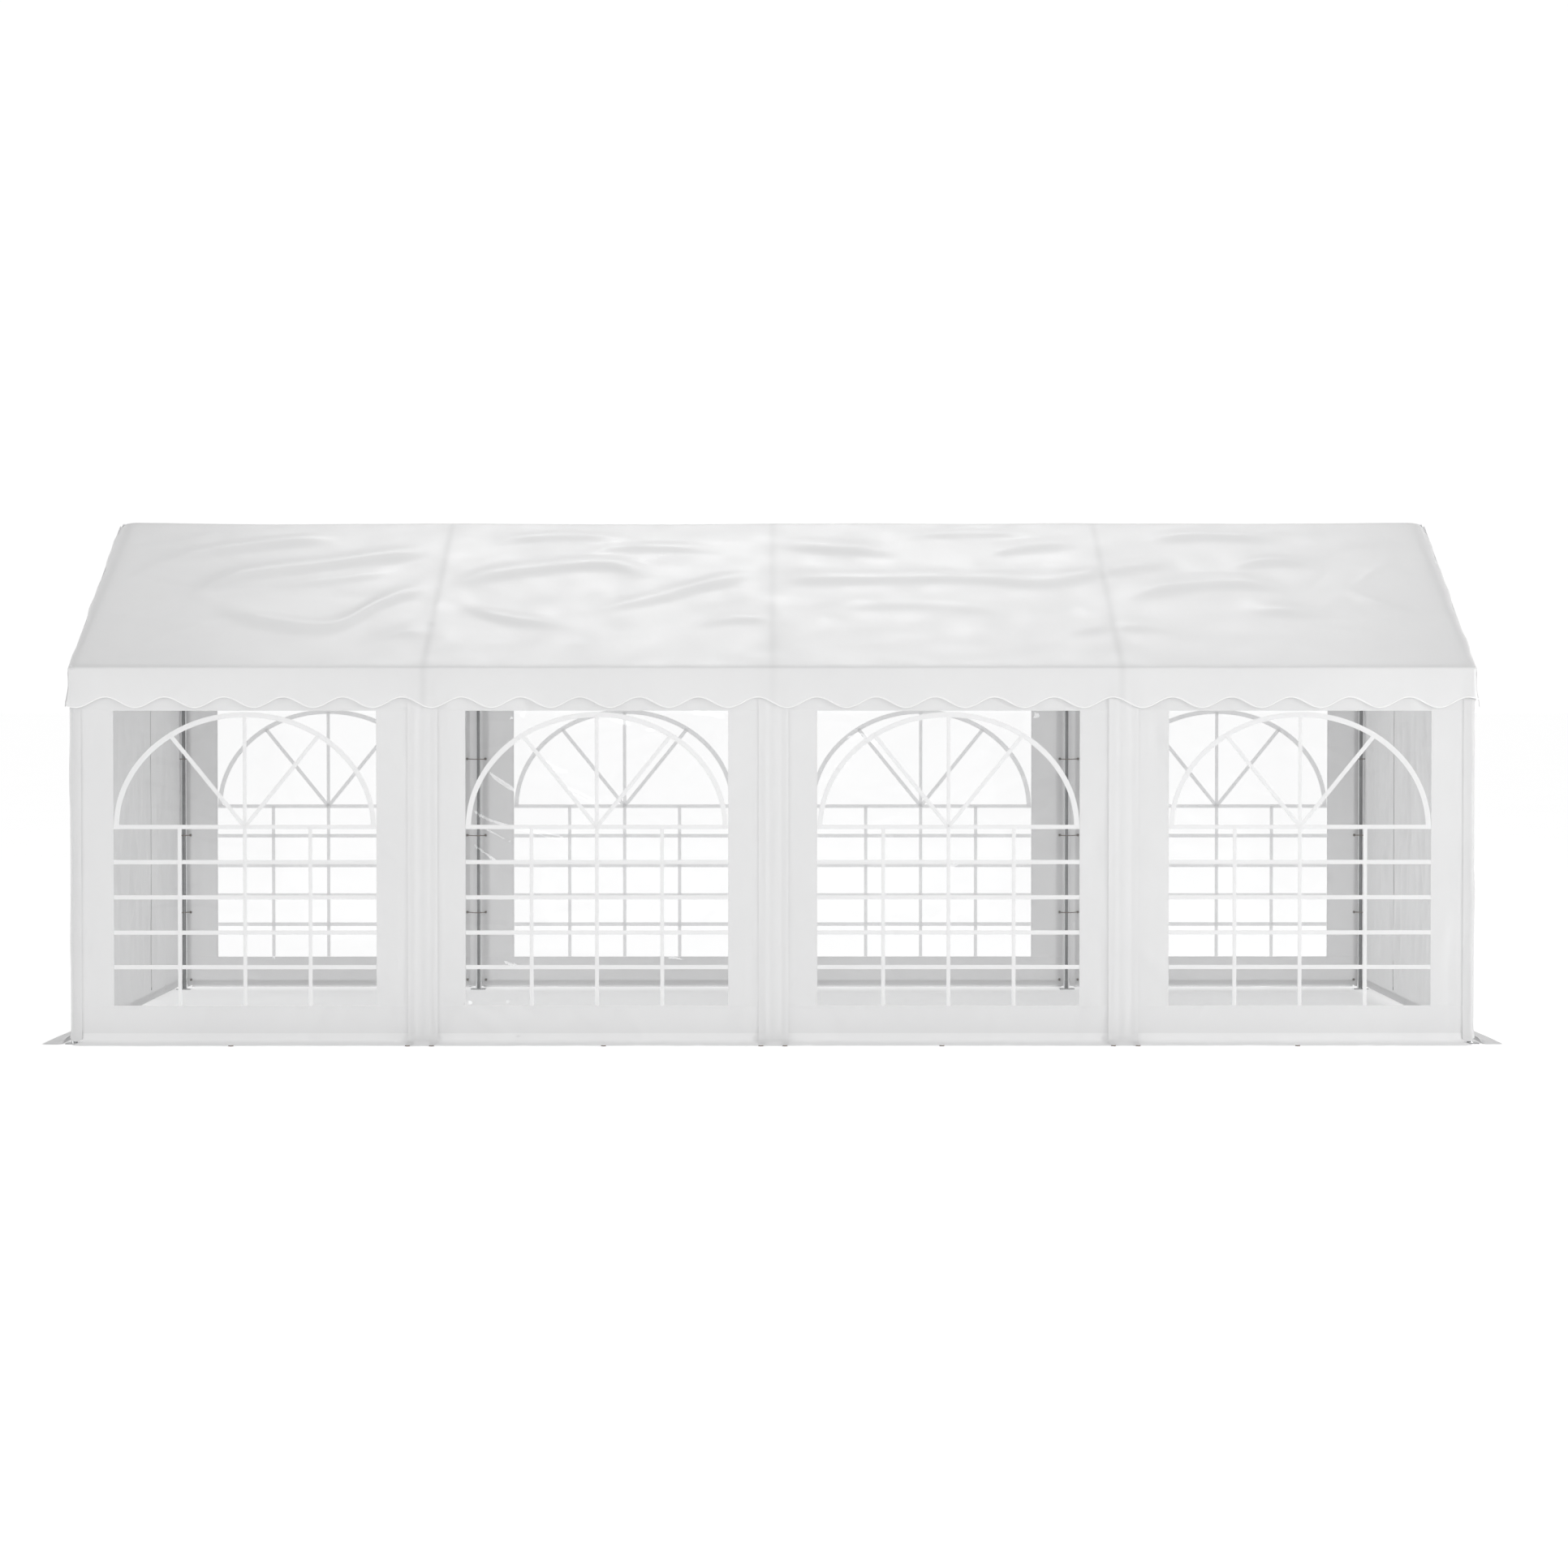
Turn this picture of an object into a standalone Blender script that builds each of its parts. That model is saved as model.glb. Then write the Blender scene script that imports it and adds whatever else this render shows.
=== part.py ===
"""Marquee tent, 8 m long and 4 m deep: a steel tube frame under a gabled roof cover with a
scalloped valance, window walls on both long sides and an end wall with a zipped door at
each end. The front faces -Y, and the origin is on the ground at the middle of the plan."""

from math import atan2, ceil, cos, hypot, pi, sin, tan

import bmesh
import bpy
from mathutils import Vector

# Frame, in metres. The tube axes stand BAY apart along X and HALF_DEPTH from the middle in Y.
BAYS = 4
BAY = 1.989
HALF_LENGTH = BAYS * BAY / 2
HALF_DEPTH = 1.975
EAVE_Z = 2.134
RIDGE_Z = 3.029
PITCH = atan2(RIDGE_Z - EAVE_Z, HALF_DEPTH)
TUBE_R = 0.019
SOCKET_R = 0.021
SLEEVE_R = 0.022
SLEEVE_HALF = 0.08
SOCKET_REACH = 0.10
RIDGE_END = 4.037
TUBE_SIDES = 16

# Foot plate and the socket that stands on it.
PLATE_HALF = 0.05
PLATE_THICK = 0.005
FOOT_SOCKET_TOP = 0.06

# Cloth. GAP is the space left between pieces that touch.
CLOTH = 0.003
GAP = 0.0003
WALL_TOP = 2.12
WALL_Y = HALF_DEPTH + SLEEVE_R + GAP
END_WALL_X = HALF_LENGTH + SOCKET_R + GAP
FOLD_Z = 0.065
SKIRT_REACH = 0.16
SKIRT_LIP = 0.03
PANEL_SPACING = 0.09
FLAP_HALF = 0.085
CORNER_LAP = 0.067
CORNER_LAP_BOTTOM = 0.012
END_SKIRT_HALF = 1.96

# Windows, one to a bay, and the doorway in each end wall.
WINDOW_PITCH = 2.003
WINDOW_HALF = 0.748
WINDOW_SILL = 0.218
WINDOW_HEAD = 1.899
DOOR_HALF = 0.77
DOOR_TOP = 2.0

# Roof cover and the valance that hangs from its edge.
COVER_OFFSET = SLEEVE_R + GAP
VALANCE_Y = 2.006
GABLE_X = 4.006
GABLE_LEAN = 0.034
GABLE_FOLD_Z = 2.13
COVER_OVERHANG = 0.002
SCALLOP_MEAN_Z = 1.946
SCALLOP_HALF_HEIGHT = 0.03
SCALLOP_PITCH = 0.3371
FRONT_FIRST_LOW_X = -3.963
SCALLOP_STEPS = 6

CUT_MARGIN = 0.2


def material(name, colour, roughness, metallic=0.0, alpha=1.0):
    made = bpy.data.materials.new(name)
    made.use_nodes = True
    shader = made.node_tree.nodes["Principled BSDF"]
    shader.inputs["Base Color"].default_value = (*colour, 1.0)
    shader.inputs["Roughness"].default_value = roughness
    shader.inputs["Metallic"].default_value = metallic
    shader.inputs["Alpha"].default_value = alpha
    return made


def loft(mesh_name, rings):
    """A closed mesh through rings of points, with a flat face on the first and the last ring."""
    bm = bmesh.new()
    rows = [[bm.verts.new(point) for point in ring] for ring in rings]
    bm.faces.new(rows[0])
    bm.faces.new(reversed(rows[-1]))
    for lower, upper in zip(rows, rows[1:]):
        for k, corner in enumerate(lower):
            previous = k - 1
            bm.faces.new((lower[previous], upper[previous], upper[k], corner))
    return finished(mesh_name, bm)


def finished(mesh_name, bm):
    bmesh.ops.recalc_face_normals(bm, faces=bm.faces)
    mesh = bpy.data.meshes.new(mesh_name)
    bm.to_mesh(mesh)
    bm.free()
    return mesh


def merged(mesh_name, meshes):
    """One mesh of several closed ones that lie apart."""
    bm = bmesh.new()
    for mesh in meshes:
        bm.from_mesh(mesh)
    return finished(mesh_name, bm)


def circle(centre, axis, radius):
    """Corners of a round section square to the axis. One corner lies straight out along Z or Y."""
    axis = Vector(axis).normalized()
    guide = Vector((0, 1, 0)) if abs(axis.z) > 0.9 else Vector((0, 0, 1))
    first = (guide - axis * guide.dot(axis)).normalized()
    second = axis.cross(first)
    angles = (2 * pi * k / TUBE_SIDES for k in range(TUBE_SIDES))
    return [Vector(centre) + radius * (cos(t) * first + sin(t) * second) for t in angles]


def tube(mesh_name, start, end, radius):
    axis = Vector(end) - Vector(start)
    return loft(mesh_name, [circle(start, axis, radius), circle(end, axis, radius)])


def box(mesh_name, low, high):
    (x0, y0, z0), (x1, y1, z1) = low, high
    rings = [[(x0, y0, z), (x1, y0, z), (x1, y1, z), (x0, y1, z)] for z in (z0, z1)]
    return loft(mesh_name, rings)


def piece(name, mesh, finish, at=(0, 0, 0), turn=0.0, rounded=False):
    """One named sub-part, parented to the tent's empty. A turn of pi brings a front piece
    to the back, or a right one to the left."""
    if not mesh.materials:
        mesh.materials.append(finish)
    if rounded:
        mesh.shade_smooth()
        mesh.set_sharp_from_angle(angle=0.6)
    made = bpy.data.objects.new(name, mesh)
    bpy.context.scene.collection.objects.link(made)
    made.parent = TENT
    made.location = at
    made.rotation_euler = (0, 0, turn)
    return made


def reshape(target, mesh, operation):
    """Joins a mesh to the target or cuts it out of it. The mesh is in the target's own frame."""
    tool = bpy.data.objects.new(f"{target.name}_{mesh.name}", mesh)
    bpy.context.scene.collection.objects.link(tool)
    tool.parent = target
    tool.hide_render = True
    tool.display_type = "WIRE"
    modifier = target.modifiers.new(mesh.name, "BOOLEAN")
    modifier.operation = operation
    modifier.solver = "EXACT"
    modifier.object = tool


def post_places():
    return [(k - BAYS / 2) * BAY for k in range(BAYS + 1)]


def slope(distance):
    """The vector of this length that runs up the front roof slope."""
    return Vector((0, distance * cos(PITCH), distance * sin(PITCH)))


def cover_underside(y):
    """Height of the roof cover's underside on the straight part of a slope."""
    return EAVE_Z + COVER_OFFSET / cos(PITCH) - (abs(y) - HALF_DEPTH) * tan(PITCH)


def post_mesh():
    """Foot plate, foot socket and tube as one turned shape, square at the plate."""

    def square(z):
        reach = (PLATE_HALF / max(abs(cos(t)), abs(sin(t))) for t in angles)
        return [(r * cos(t), r * sin(t), z) for r, t in zip(reach, angles)]

    def round_ring(radius, z):
        return [(radius * cos(t), radius * sin(t), z) for t in angles]

    angles = [2 * pi * k / TUBE_SIDES for k in range(TUBE_SIDES)]
    rings = [
        square(0),
        square(PLATE_THICK),
        round_ring(SOCKET_R, PLATE_THICK),
        round_ring(SOCKET_R, FOOT_SOCKET_TOP),
        round_ring(TUBE_R, FOOT_SOCKET_TOP),
        round_ring(TUBE_R, EAVE_Z - SOCKET_REACH - GAP),
    ]
    return loft("post", rings)


def posts():
    mesh = post_mesh()
    for number, x in enumerate(post_places(), 1):
        piece(f"post_front_{number}", mesh, STEEL, at=(x, -HALF_DEPTH, 0), rounded=True)
        piece(f"post_back_{number}", mesh, STEEL, at=(x, HALF_DEPTH, 0), rounded=True)


def rafters():
    """Each rafter runs from its eave socket to its ridge socket."""
    eave = Vector((0, -HALF_DEPTH, EAVE_Z))
    ridge = Vector((0, 0, RIDGE_Z))
    inset = slope(SOCKET_REACH + GAP)
    mesh = tube("rafter", eave + inset, ridge - inset, TUBE_R)
    last = len(post_places())
    for number, x in enumerate(post_places(), 1):
        piece(f"rafter_front_{number}", mesh, STEEL, at=(x, 0, 0), rounded=True)
        back = f"rafter_back_{last + 1 - number}"
        piece(back, mesh, STEEL, at=(-x, 0, 0), turn=pi, rounded=True)


def sleeves(y, z, end):
    """The thicker tube of the fittings, one over each post. The outer two stop at the end."""
    made = []
    for x in post_places():
        low = max(x - SLEEVE_HALF, -end)
        high = min(x + SLEEVE_HALF, end)
        made.append(tube("sleeve", (low, y, z), (high, y, z), SLEEVE_R))
    return merged("sleeves", made)


def sockets(name, y, z, reach):
    """One socket at each post, from the tube's axis out along reach."""
    starts = [Vector((x, y, z)) for x in post_places()]
    return merged(name, [tube(name, at, at + reach, SOCKET_R) for at in starts])


def eave_tubes():
    """The tube along the top of each long side with its fittings: a socket down over each
    post, one up the slope, and at both ends one for the gable bar."""
    end = HALF_LENGTH + SOCKET_R
    y, z = -HALF_DEPTH, EAVE_Z
    bar_sockets = [
        tube("bar", (x, y, z), (x, y + SOCKET_REACH, z), SOCKET_R)
        for x in (-HALF_LENGTH, HALF_LENGTH)
    ]
    for name, turn in (("eave_tube_front", 0), ("eave_tube_back", pi)):
        main = tube("eave_tube", (-end, y, z), (end, y, z), TUBE_R)
        made = piece(name, main, STEEL, turn=turn, rounded=True)
        reshape(made, sleeves(y, z, end - GAP), "UNION")
        reshape(made, sockets("post_sockets", y, z, Vector((0, 0, -SOCKET_REACH))), "UNION")
        reshape(made, sockets("rafter_sockets", y, z, slope(SOCKET_REACH)), "UNION")
        reshape(made, merged("bar_sockets", bar_sockets), "UNION")


def ridge_tube():
    main = tube("ridge_tube", (-RIDGE_END, 0, RIDGE_Z), (RIDGE_END, 0, RIDGE_Z), TUBE_R)
    made = piece("ridge_tube", main, STEEL, rounded=True)
    reshape(made, sleeves(0, RIDGE_Z, RIDGE_END - GAP), "UNION")
    down_front = -slope(SOCKET_REACH)
    down_back = Vector((0, -down_front.y, down_front.z))
    reshape(made, sockets("front_sockets", 0, RIDGE_Z, down_front), "UNION")
    reshape(made, sockets("back_sockets", 0, RIDGE_Z, down_back), "UNION")


def gable_bars():
    """The tube across each end at eave height that carries the end wall."""
    half = HALF_DEPTH - SOCKET_REACH - GAP
    mesh = tube("gable_bar", (0, -half, 0), (0, half, 0), TUBE_R)
    for name, x in (("gable_bar_left", -HALF_LENGTH), ("gable_bar_right", HALF_LENGTH)):
        piece(name, mesh, STEEL, at=(x, 0, EAVE_Z), rounded=True)


def gable_outer_x(z):
    """Where the gable's outer face stands at this height: upright up to its fold, then
    leaning out to the longer ridge."""
    rise = max(z - GABLE_FOLD_Z, 0) / (RIDGE_Z - GABLE_FOLD_Z)
    return GABLE_X + CLOTH + GABLE_LEAN * rise


def roof_cover():
    """The cover over both slopes, rounded over the ridge tube."""

    def side(offset):
        eave = VALANCE_Y + CLOTH
        lift = (offset - COVER_OFFSET) / cos(PITCH)
        turns = [PITCH * k / 2 for k in (2, 1, 0, -1, -2)]
        arc = [(-offset * sin(t), RIDGE_Z + offset * cos(t)) for t in turns]
        edge = cover_underside(eave) + lift
        return [(-eave, edge), *arc, (eave, edge)]

    profile = side(COVER_OFFSET) + side(COVER_OFFSET + CLOTH)[::-1]
    rings = [
        [(end * (gable_outer_x(z) + COVER_OVERHANG), y, z) for y, z in profile]
        for end in (-1, 1)
    ]
    piece("roof_cover", loft("roof_cover", rings), ROOF_CLOTH)


def scallop(along, low):
    """Height of the valance's wavy lower edge, with a lowest point where along equals low."""
    wave = cos(2 * pi * (along - low) / SCALLOP_PITCH)
    return SCALLOP_MEAN_Z - SCALLOP_HALF_HEIGHT * wave


def edge_places(half):
    """Even places along an edge of this half length, SCALLOP_STEPS or more to a scallop."""
    steps = ceil(2 * half / SCALLOP_PITCH * SCALLOP_STEPS)
    return [half * (2 * k / steps - 1) for k in range(steps + 1)]


def valances():
    """The hanging strip along each long side."""
    half = GABLE_X - GAP
    top = cover_underside(VALANCE_Y + CLOTH) - 2 * GAP
    outline = [(x, scallop(x, FRONT_FIRST_LOW_X)) for x in edge_places(half)]
    outline += [(half, top), (-half, top)]
    rings = [[(x, y, z) for x, z in outline] for y in (-VALANCE_Y, -VALANCE_Y - CLOTH)]
    mesh = loft("valance", rings)
    piece("valance_front", mesh, ROOF_CLOTH)
    piece("valance_back", mesh, ROOF_CLOTH, turn=pi)


def gables():
    """The triangle under each end of the roof, with the valance's scallops along its foot."""
    half = VALANCE_Y + CLOTH
    flat_half = COVER_OFFSET * sin(PITCH)
    places = sorted([*edge_places(half), -flat_half, flat_half])
    rings = []
    for y in places:
        top = cover_underside(max(abs(y), flat_half)) - 2 * GAP
        outer = [(gable_outer_x(z), z) for z in (scallop(y, 0), GABLE_FOLD_Z, top)]
        section = outer + [(x - CLOTH, z) for x, z in reversed(outer)]
        rings.append([(x, y, z) for x, z in section])
    mesh = loft("gable", rings)
    piece("gable_right", mesh, ROOF_CLOTH)
    piece("gable_left", mesh, ROOF_CLOTH, turn=pi)


def hanging_path(top):
    """Inner face of a wall from its top down to the fold and out over the ground, as
    (out, z), each with the vector that one metre of thickness adds there."""
    path = [(0, top), (0, FOLD_Z), (SKIRT_REACH - SKIRT_LIP, 0), (SKIRT_REACH, 0)]
    normals = []
    for (out0, z0), (out1, z1) in zip(path, path[1:]):
        length = hypot(out1 - out0, z1 - z0)
        normals.append(((z0 - z1) / length, (out1 - out0) / length))
    before = [normals[0], *normals]
    after = [*normals, normals[-1]]
    stations = []
    for (out, z), (a, b), (c, d) in zip(path, before, after):
        spread = 1 + a * c + b * d
        stations.append((out, z, (a + c) / spread, (b + d) / spread))
    return stations


def hang(mesh_name, section, top):
    """A front wall mesh from its plan, whose points are (x, depth), with depth counted
    outwards from the inner face. It hangs from top and ends in its ground skirt."""
    rings = [
        [(x, -(WALL_Y + out + depth * m_out), z + depth * m_z) for x, depth in section]
        for out, z, m_out, m_z in hanging_path(top)
    ]
    return loft(mesh_name, rings)


def wall_section(left, right, flap):
    """Plan of a panel. With a flap, it runs on past the side that flap names (-1 or 1),
    one layer further out, over the edge of the next panel."""
    if flap == 0:
        return [(left, 0), (right, 0), (right, CLOTH), (left, CLOTH)]
    near, far = (right, left) if flap > 0 else (left, right)
    post = near + flap * PANEL_SPACING / 2
    inner = post - flap * FLAP_HALF
    outer = post + flap * FLAP_HALF
    layer = CLOTH + GAP
    return [
        (far, 0),
        (near, 0),
        (near, layer),
        (outer, layer),
        (outer, layer + CLOTH),
        (inner, layer + CLOTH),
        (inner, CLOTH),
        (far, CLOTH),
    ]


def wall_meshes():
    """For each bay of the front: its panel, its window's middle and what is cut from it.
    The skirts of the outer panels stop short of the corner, where the end wall laps round."""
    end = END_WALL_X - GAP
    flaps = (1, 1, 0, -1)
    made = []
    for bay, flap in enumerate(flaps):
        left = max((bay - BAYS / 2) * BAY + PANEL_SPACING / 2, -end)
        right = min((bay + 1 - BAYS / 2) * BAY - PANEL_SPACING / 2, end)
        if bay == 0:
            left = -end
        if bay == BAYS - 1:
            right = end
        middle = (bay - (BAYS - 1) / 2) * WINDOW_PITCH
        deep = (-WALL_Y - CUT_MARGIN, -WALL_Y + CUT_MARGIN)
        window = box(
            "window",
            (middle - WINDOW_HALF, deep[0], WINDOW_SILL),
            (middle + WINDOW_HALF, deep[1], WINDOW_HEAD),
        )
        cuts = [window]
        lap = end - CORNER_LAP + CLOTH
        for side in (-1, 1):
            if max(side * left, side * right) == end:
                low, high = sorted((side * lap, side * (end + CUT_MARGIN)))
                top = FOLD_Z + CLOTH
                cuts.append(box("corner", (low, deep[0], -CUT_MARGIN), (high, deep[1], top)))
        mesh = hang("wall", wall_section(left, right, flap), WALL_TOP)
        made.append((mesh, middle, merged("cuts", cuts)))
    return made


def window_walls():
    """The four panels of each long side and the clear film in each window. The back is the
    front turned round, and pieces are numbered along X on both sides."""
    for bay, (mesh, middle, cuts) in enumerate(wall_meshes(), 1):
        film = box(
            "window_film",
            (middle - WINDOW_HALF + GAP, -WALL_Y - CLOTH, WINDOW_SILL + GAP),
            (middle + WINDOW_HALF - GAP, -WALL_Y, WINDOW_HEAD - GAP),
        )
        for side, number, turn in (("front", bay, 0), ("back", BAYS + 1 - bay, pi)):
            wall = piece(f"wall_{side}_{number}", mesh, WALL_CLOTH, turn=turn)
            reshape(wall, cuts, "DIFFERENCE")
            piece(f"window_{side}_{number}", film, WINDOW_FILM, turn=turn)


def turned_to_right(mesh):
    """Moves a front wall mesh round to the right-hand end of the tent."""
    for vertex in mesh.vertices:
        x, y, z = vertex.co
        vertex.co = (END_WALL_X - WALL_Y - y, x, z)
    return mesh


def corner_lap(side):
    """Where the end wall turns the corner and lies over the front (-1) or back (1) wall."""
    inner, outer = END_WALL_X, END_WALL_X + CLOTH
    near = WALL_Y + CLOTH + GAP
    plan = [
        (inner, END_SKIRT_HALF - CORNER_LAP / 2),
        (inner, near),
        (outer - CORNER_LAP, near),
        (outer - CORNER_LAP, near + CLOTH),
        (outer, near + CLOTH),
        (outer, END_SKIRT_HALF - CORNER_LAP / 2),
    ]
    rings = [[(x, side * y, z) for x, y in plan] for z in (CORNER_LAP_BOTTOM, WALL_TOP)]
    return loft("corner_lap", rings)


def end_walls():
    """The plain wall at each end with its doorway, and the door that is zipped into it."""
    plain = [(-1, 0), (1, 0), (1, CLOTH), (-1, CLOTH)]
    wall_plan = [(END_SKIRT_HALF * side, depth) for side, depth in plain]
    door_plan = [((DOOR_HALF - GAP) * side, depth) for side, depth in plain]
    wall_mesh = turned_to_right(hang("end_wall", wall_plan, WALL_TOP))
    door_mesh = turned_to_right(hang("door", door_plan, DOOR_TOP - GAP))
    laps = merged("corner_laps", [corner_lap(side) for side in (-1, 1)])
    doorway = box(
        "doorway",
        (END_WALL_X - CUT_MARGIN, -DOOR_HALF, -CUT_MARGIN),
        (END_WALL_X + SKIRT_REACH + CUT_MARGIN, DOOR_HALF, DOOR_TOP),
    )
    for side, turn in (("right", 0), ("left", pi)):
        wall = piece(f"end_wall_{side}", wall_mesh, WALL_CLOTH, turn=turn)
        reshape(wall, laps, "UNION")
        reshape(wall, doorway, "DIFFERENCE")
        piece(f"door_{side}", door_mesh, WALL_CLOTH, turn=turn)


for leftover in list(bpy.data.objects):
    bpy.data.objects.remove(leftover)

TENT = bpy.data.objects.new("marquee_tent", None)
bpy.context.scene.collection.objects.link(TENT)

STEEL = material("steel_tube", (0.62, 0.63, 0.64), 0.28, metallic=1.0)
ROOF_CLOTH = material("roof_cloth", (0.86, 0.86, 0.86), 0.55)
WALL_CLOTH = material("wall_cloth", (0.84, 0.84, 0.84), 0.5)
WINDOW_FILM = material("window_film", (0.95, 0.96, 0.97), 0.08, alpha=0.25)

posts()
rafters()
eave_tubes()
ridge_tube()
gable_bars()
roof_cover()
valances()
gables()
window_walls()
end_walls()
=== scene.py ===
from math import atan2, ceil, cos, hypot, pi, radians, sin, tan

import bpy
import numpy as np
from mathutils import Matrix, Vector


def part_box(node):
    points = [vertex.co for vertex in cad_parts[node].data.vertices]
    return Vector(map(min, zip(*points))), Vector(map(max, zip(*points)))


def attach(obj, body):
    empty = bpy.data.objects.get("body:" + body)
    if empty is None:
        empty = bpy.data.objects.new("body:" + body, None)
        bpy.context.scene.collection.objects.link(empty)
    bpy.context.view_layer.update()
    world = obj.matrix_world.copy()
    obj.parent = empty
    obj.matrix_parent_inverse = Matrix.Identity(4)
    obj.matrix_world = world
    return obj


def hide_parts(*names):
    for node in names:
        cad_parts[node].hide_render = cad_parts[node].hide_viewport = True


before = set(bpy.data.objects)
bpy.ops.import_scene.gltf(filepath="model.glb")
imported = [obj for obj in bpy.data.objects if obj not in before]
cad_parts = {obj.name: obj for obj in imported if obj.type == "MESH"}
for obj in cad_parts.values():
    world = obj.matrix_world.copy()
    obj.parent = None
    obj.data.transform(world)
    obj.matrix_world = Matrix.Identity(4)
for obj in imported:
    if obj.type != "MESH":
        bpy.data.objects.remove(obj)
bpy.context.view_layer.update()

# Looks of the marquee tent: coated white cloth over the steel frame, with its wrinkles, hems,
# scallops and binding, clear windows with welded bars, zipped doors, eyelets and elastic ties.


def middle(node):
    low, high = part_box(node)
    return (low + high) / 2


# The frame as it was packed, in metres.
BAYS = 4
POSTS = [middle(f"post_front_{n}").x for n in range(1, BAYS + 2)]
BAY = POSTS[1] - POSTS[0]
HALF_LENGTH = POSTS[-1]
HALF_DEPTH = middle("post_back_1").y
EAVE_Z = middle("gable_bar_left").z
SLEEVE_R = 0.022
TUBE_R = 0.019
RIDGE_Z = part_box("ridge_tube")[1].z - SLEEVE_R
PITCH = atan2(RIDGE_Z - EAVE_Z, HALF_DEPTH)

# Walls. OUT is how far a sheet stands from the middle of the tent, and LAYER is one more sheet.
WALL_OUT = -middle("window_front_1").y
END_OUT = HALF_LENGTH + 0.0228
LAYER = 0.0033
WALL_TOP = 2.12
WALL_HEM_Z = 0.024
SKIRT_TOP_Z = 0.061
SKIRT_REACH = 0.157
FLAP_HALF = 0.085
EDGE_HALF = 0.045
CORNER_LAP = 0.066
CORNER_LAP_Z = 0.014
CORNER_ROUND = 0.024
CORNER_ARC = CORNER_ROUND * pi / 2
FRONT_SKIRT_END = 3.93
END_SKIRT_END = 1.957
# Which edge of each panel, right or left, carries a post strip.
FLAPS = (1, 1, 0, -1)
# Where the middle of each inner post's strip is beside the post.
STRIP_SHIFTS = {"front": (-0.004, 0.005, 0.010), "back": (-0.0145, 0.0, 0.0145)}

# Windows and doors.
WINDOW_LOW, WINDOW_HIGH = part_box("window_front_1")
WINDOW_HALF = (WINDOW_HIGH.x - WINDOW_LOW.x) / 2
WINDOW_SILL, WINDOW_HEAD = WINDOW_LOW.z, WINDOW_HIGH.z
WINDOW_PLACES = [middle(f"window_front_{n}").x for n in range(1, BAYS + 1)]
FILM_LAP = 0.012
FILM_STEP, CREASED_FILM_STEP = 0.0165, 0.009
DOOR_HALF = 0.77
DOOR_TOP = 2.0
ZIP_TAPE = 0.016
ZIP_FOOT_Z = 0.08

# Window bars: heights of the level ones, places of the upright ones and their widths.
LEVEL_BARS = (1.237, 1.037, 0.836, 0.635, 0.438)
SIDE_BAR = 0.372
BAR_WIDTH = 0.024
UPRIGHT_WIDTH = 0.92 * BAR_WIDTH
ARCH_WIDTH = 0.030
ARCH_HALF = 0.731
ARCH_TOP = 1.876
RAY_TURN = radians(39)
BAR_THICK = 0.0009

# Roof cover.
COVER_OUT = 2.0085
COVER_LIFT = 0.0242
EAVE_ROUND = 0.018
COVER_LAP = 0.02
COVER_END = 4.0115
ROLL_IN = 0.05
ROLL_DROP = 0.019
RIDGE_LEAN = 0.046
RIDGE_ARC = COVER_LIFT * PITCH
EAVE_ARC = EAVE_ROUND * (pi / 2 - PITCH)
SLOPE = (COVER_OUT - COVER_LIFT * sin(PITCH) - EAVE_ROUND * (1 - sin(PITCH))) / cos(PITCH)
SECTION = RIDGE_ARC + SLOPE + EAVE_ARC + COVER_LAP

# Valances.
VALANCE_OUT = -middle("valance_front").y
VALANCE_TOP = 2.132
GABLE_OUT = HALF_LENGTH + 0.0295
SCALLOP_MEAN_Z = 1.948
SCALLOP_HALF_HEIGHT = 0.03
SCALLOP_PITCH = 0.3371
FRONT_FIRST_LOW = -3.963
BINDING_HALF = 0.0045
BINDING_THICK = 0.0022

# Elastic ties, their eyelets and the ground loops, some of which are dark marks of painted shade.
TIE_HEIGHTS = (1.557, 1.041, 0.520)
FOOT_EYELET_Z = 0.062
EYELET_OFFSET = 0.062
CORNER_EYELET_OFFSET = 0.042
EYELET_R, EYELET_WIRE = 0.0085, 0.0025
TIE_R, KNOT_R, LOOP_R = 0.0026, 0.0055, 0.0028
TIE_LIFT = 0.0034
# The pairs near the three middle posts are painted shade: dark loops where the skirt edges by the post
# strips shade the ground.
LOOP_PLACES = (-3.067, -2.068, -1.932, -0.958, -0.067, 0.069, 0.958, 1.930, 2.070, 2.974)

# The photograph's camera. It stands in front of the middle of the tent.
CAMERA_BACK = 23.25
CAMERA_Z = 1.985
CAMERA_TILT, CAMERA_TURN = radians(1.357), radians(0.174)
FOCAL_PIXELS = 4600.0
IMAGE_PIXELS = 1932.0
VANISHING_PIXEL = (952.0, 857.0)

UP = np.array((0.0, 0.0, 1.0))


# Shapes.


def lines(step, *stops):
    """Places from the first stop to the last, no further apart than step, with every stop."""
    places = [stops[0]]
    for start, end in zip(stops, stops[1:]):
        count = max(1, ceil(abs(end - start) / step - 1e-6))
        places += [start + (end - start) * k / count for k in range(1, count + 1)]
    return np.array(places)


def runs(*parts):
    """Lines with a new step in each part. A part starts at the last stop of the one before."""
    first, *others = (lines(*part) for part in parts)
    return np.concatenate((first, *(run[1:] for run in others)))


def mirrored(half):
    """Places from 0 outward, and the same on the other side of 0."""
    return np.concatenate((-half[:0:-1], half))


def smooth(t):
    """0 below 0, 1 above 1 and an even curve between."""
    t = np.clip(t, 0, 1)
    return t * t * (3 - 2 * t)


def between(x, low, high, ease):
    """1 between low and high, and an even curve down to 0 at each."""
    return smooth((x - low) / ease) * smooth((high - x) / ease)


def bell(x, width):
    """A soft bump, 1 where x is 0."""
    return np.exp(-((x / width) ** 2))


def unit(rows):
    return rows / np.linalg.norm(rows, axis=1)[:, None]


def directions(points):
    """The way that a line runs at each of its points."""
    return unit(np.gradient(points, axis=0))


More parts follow.
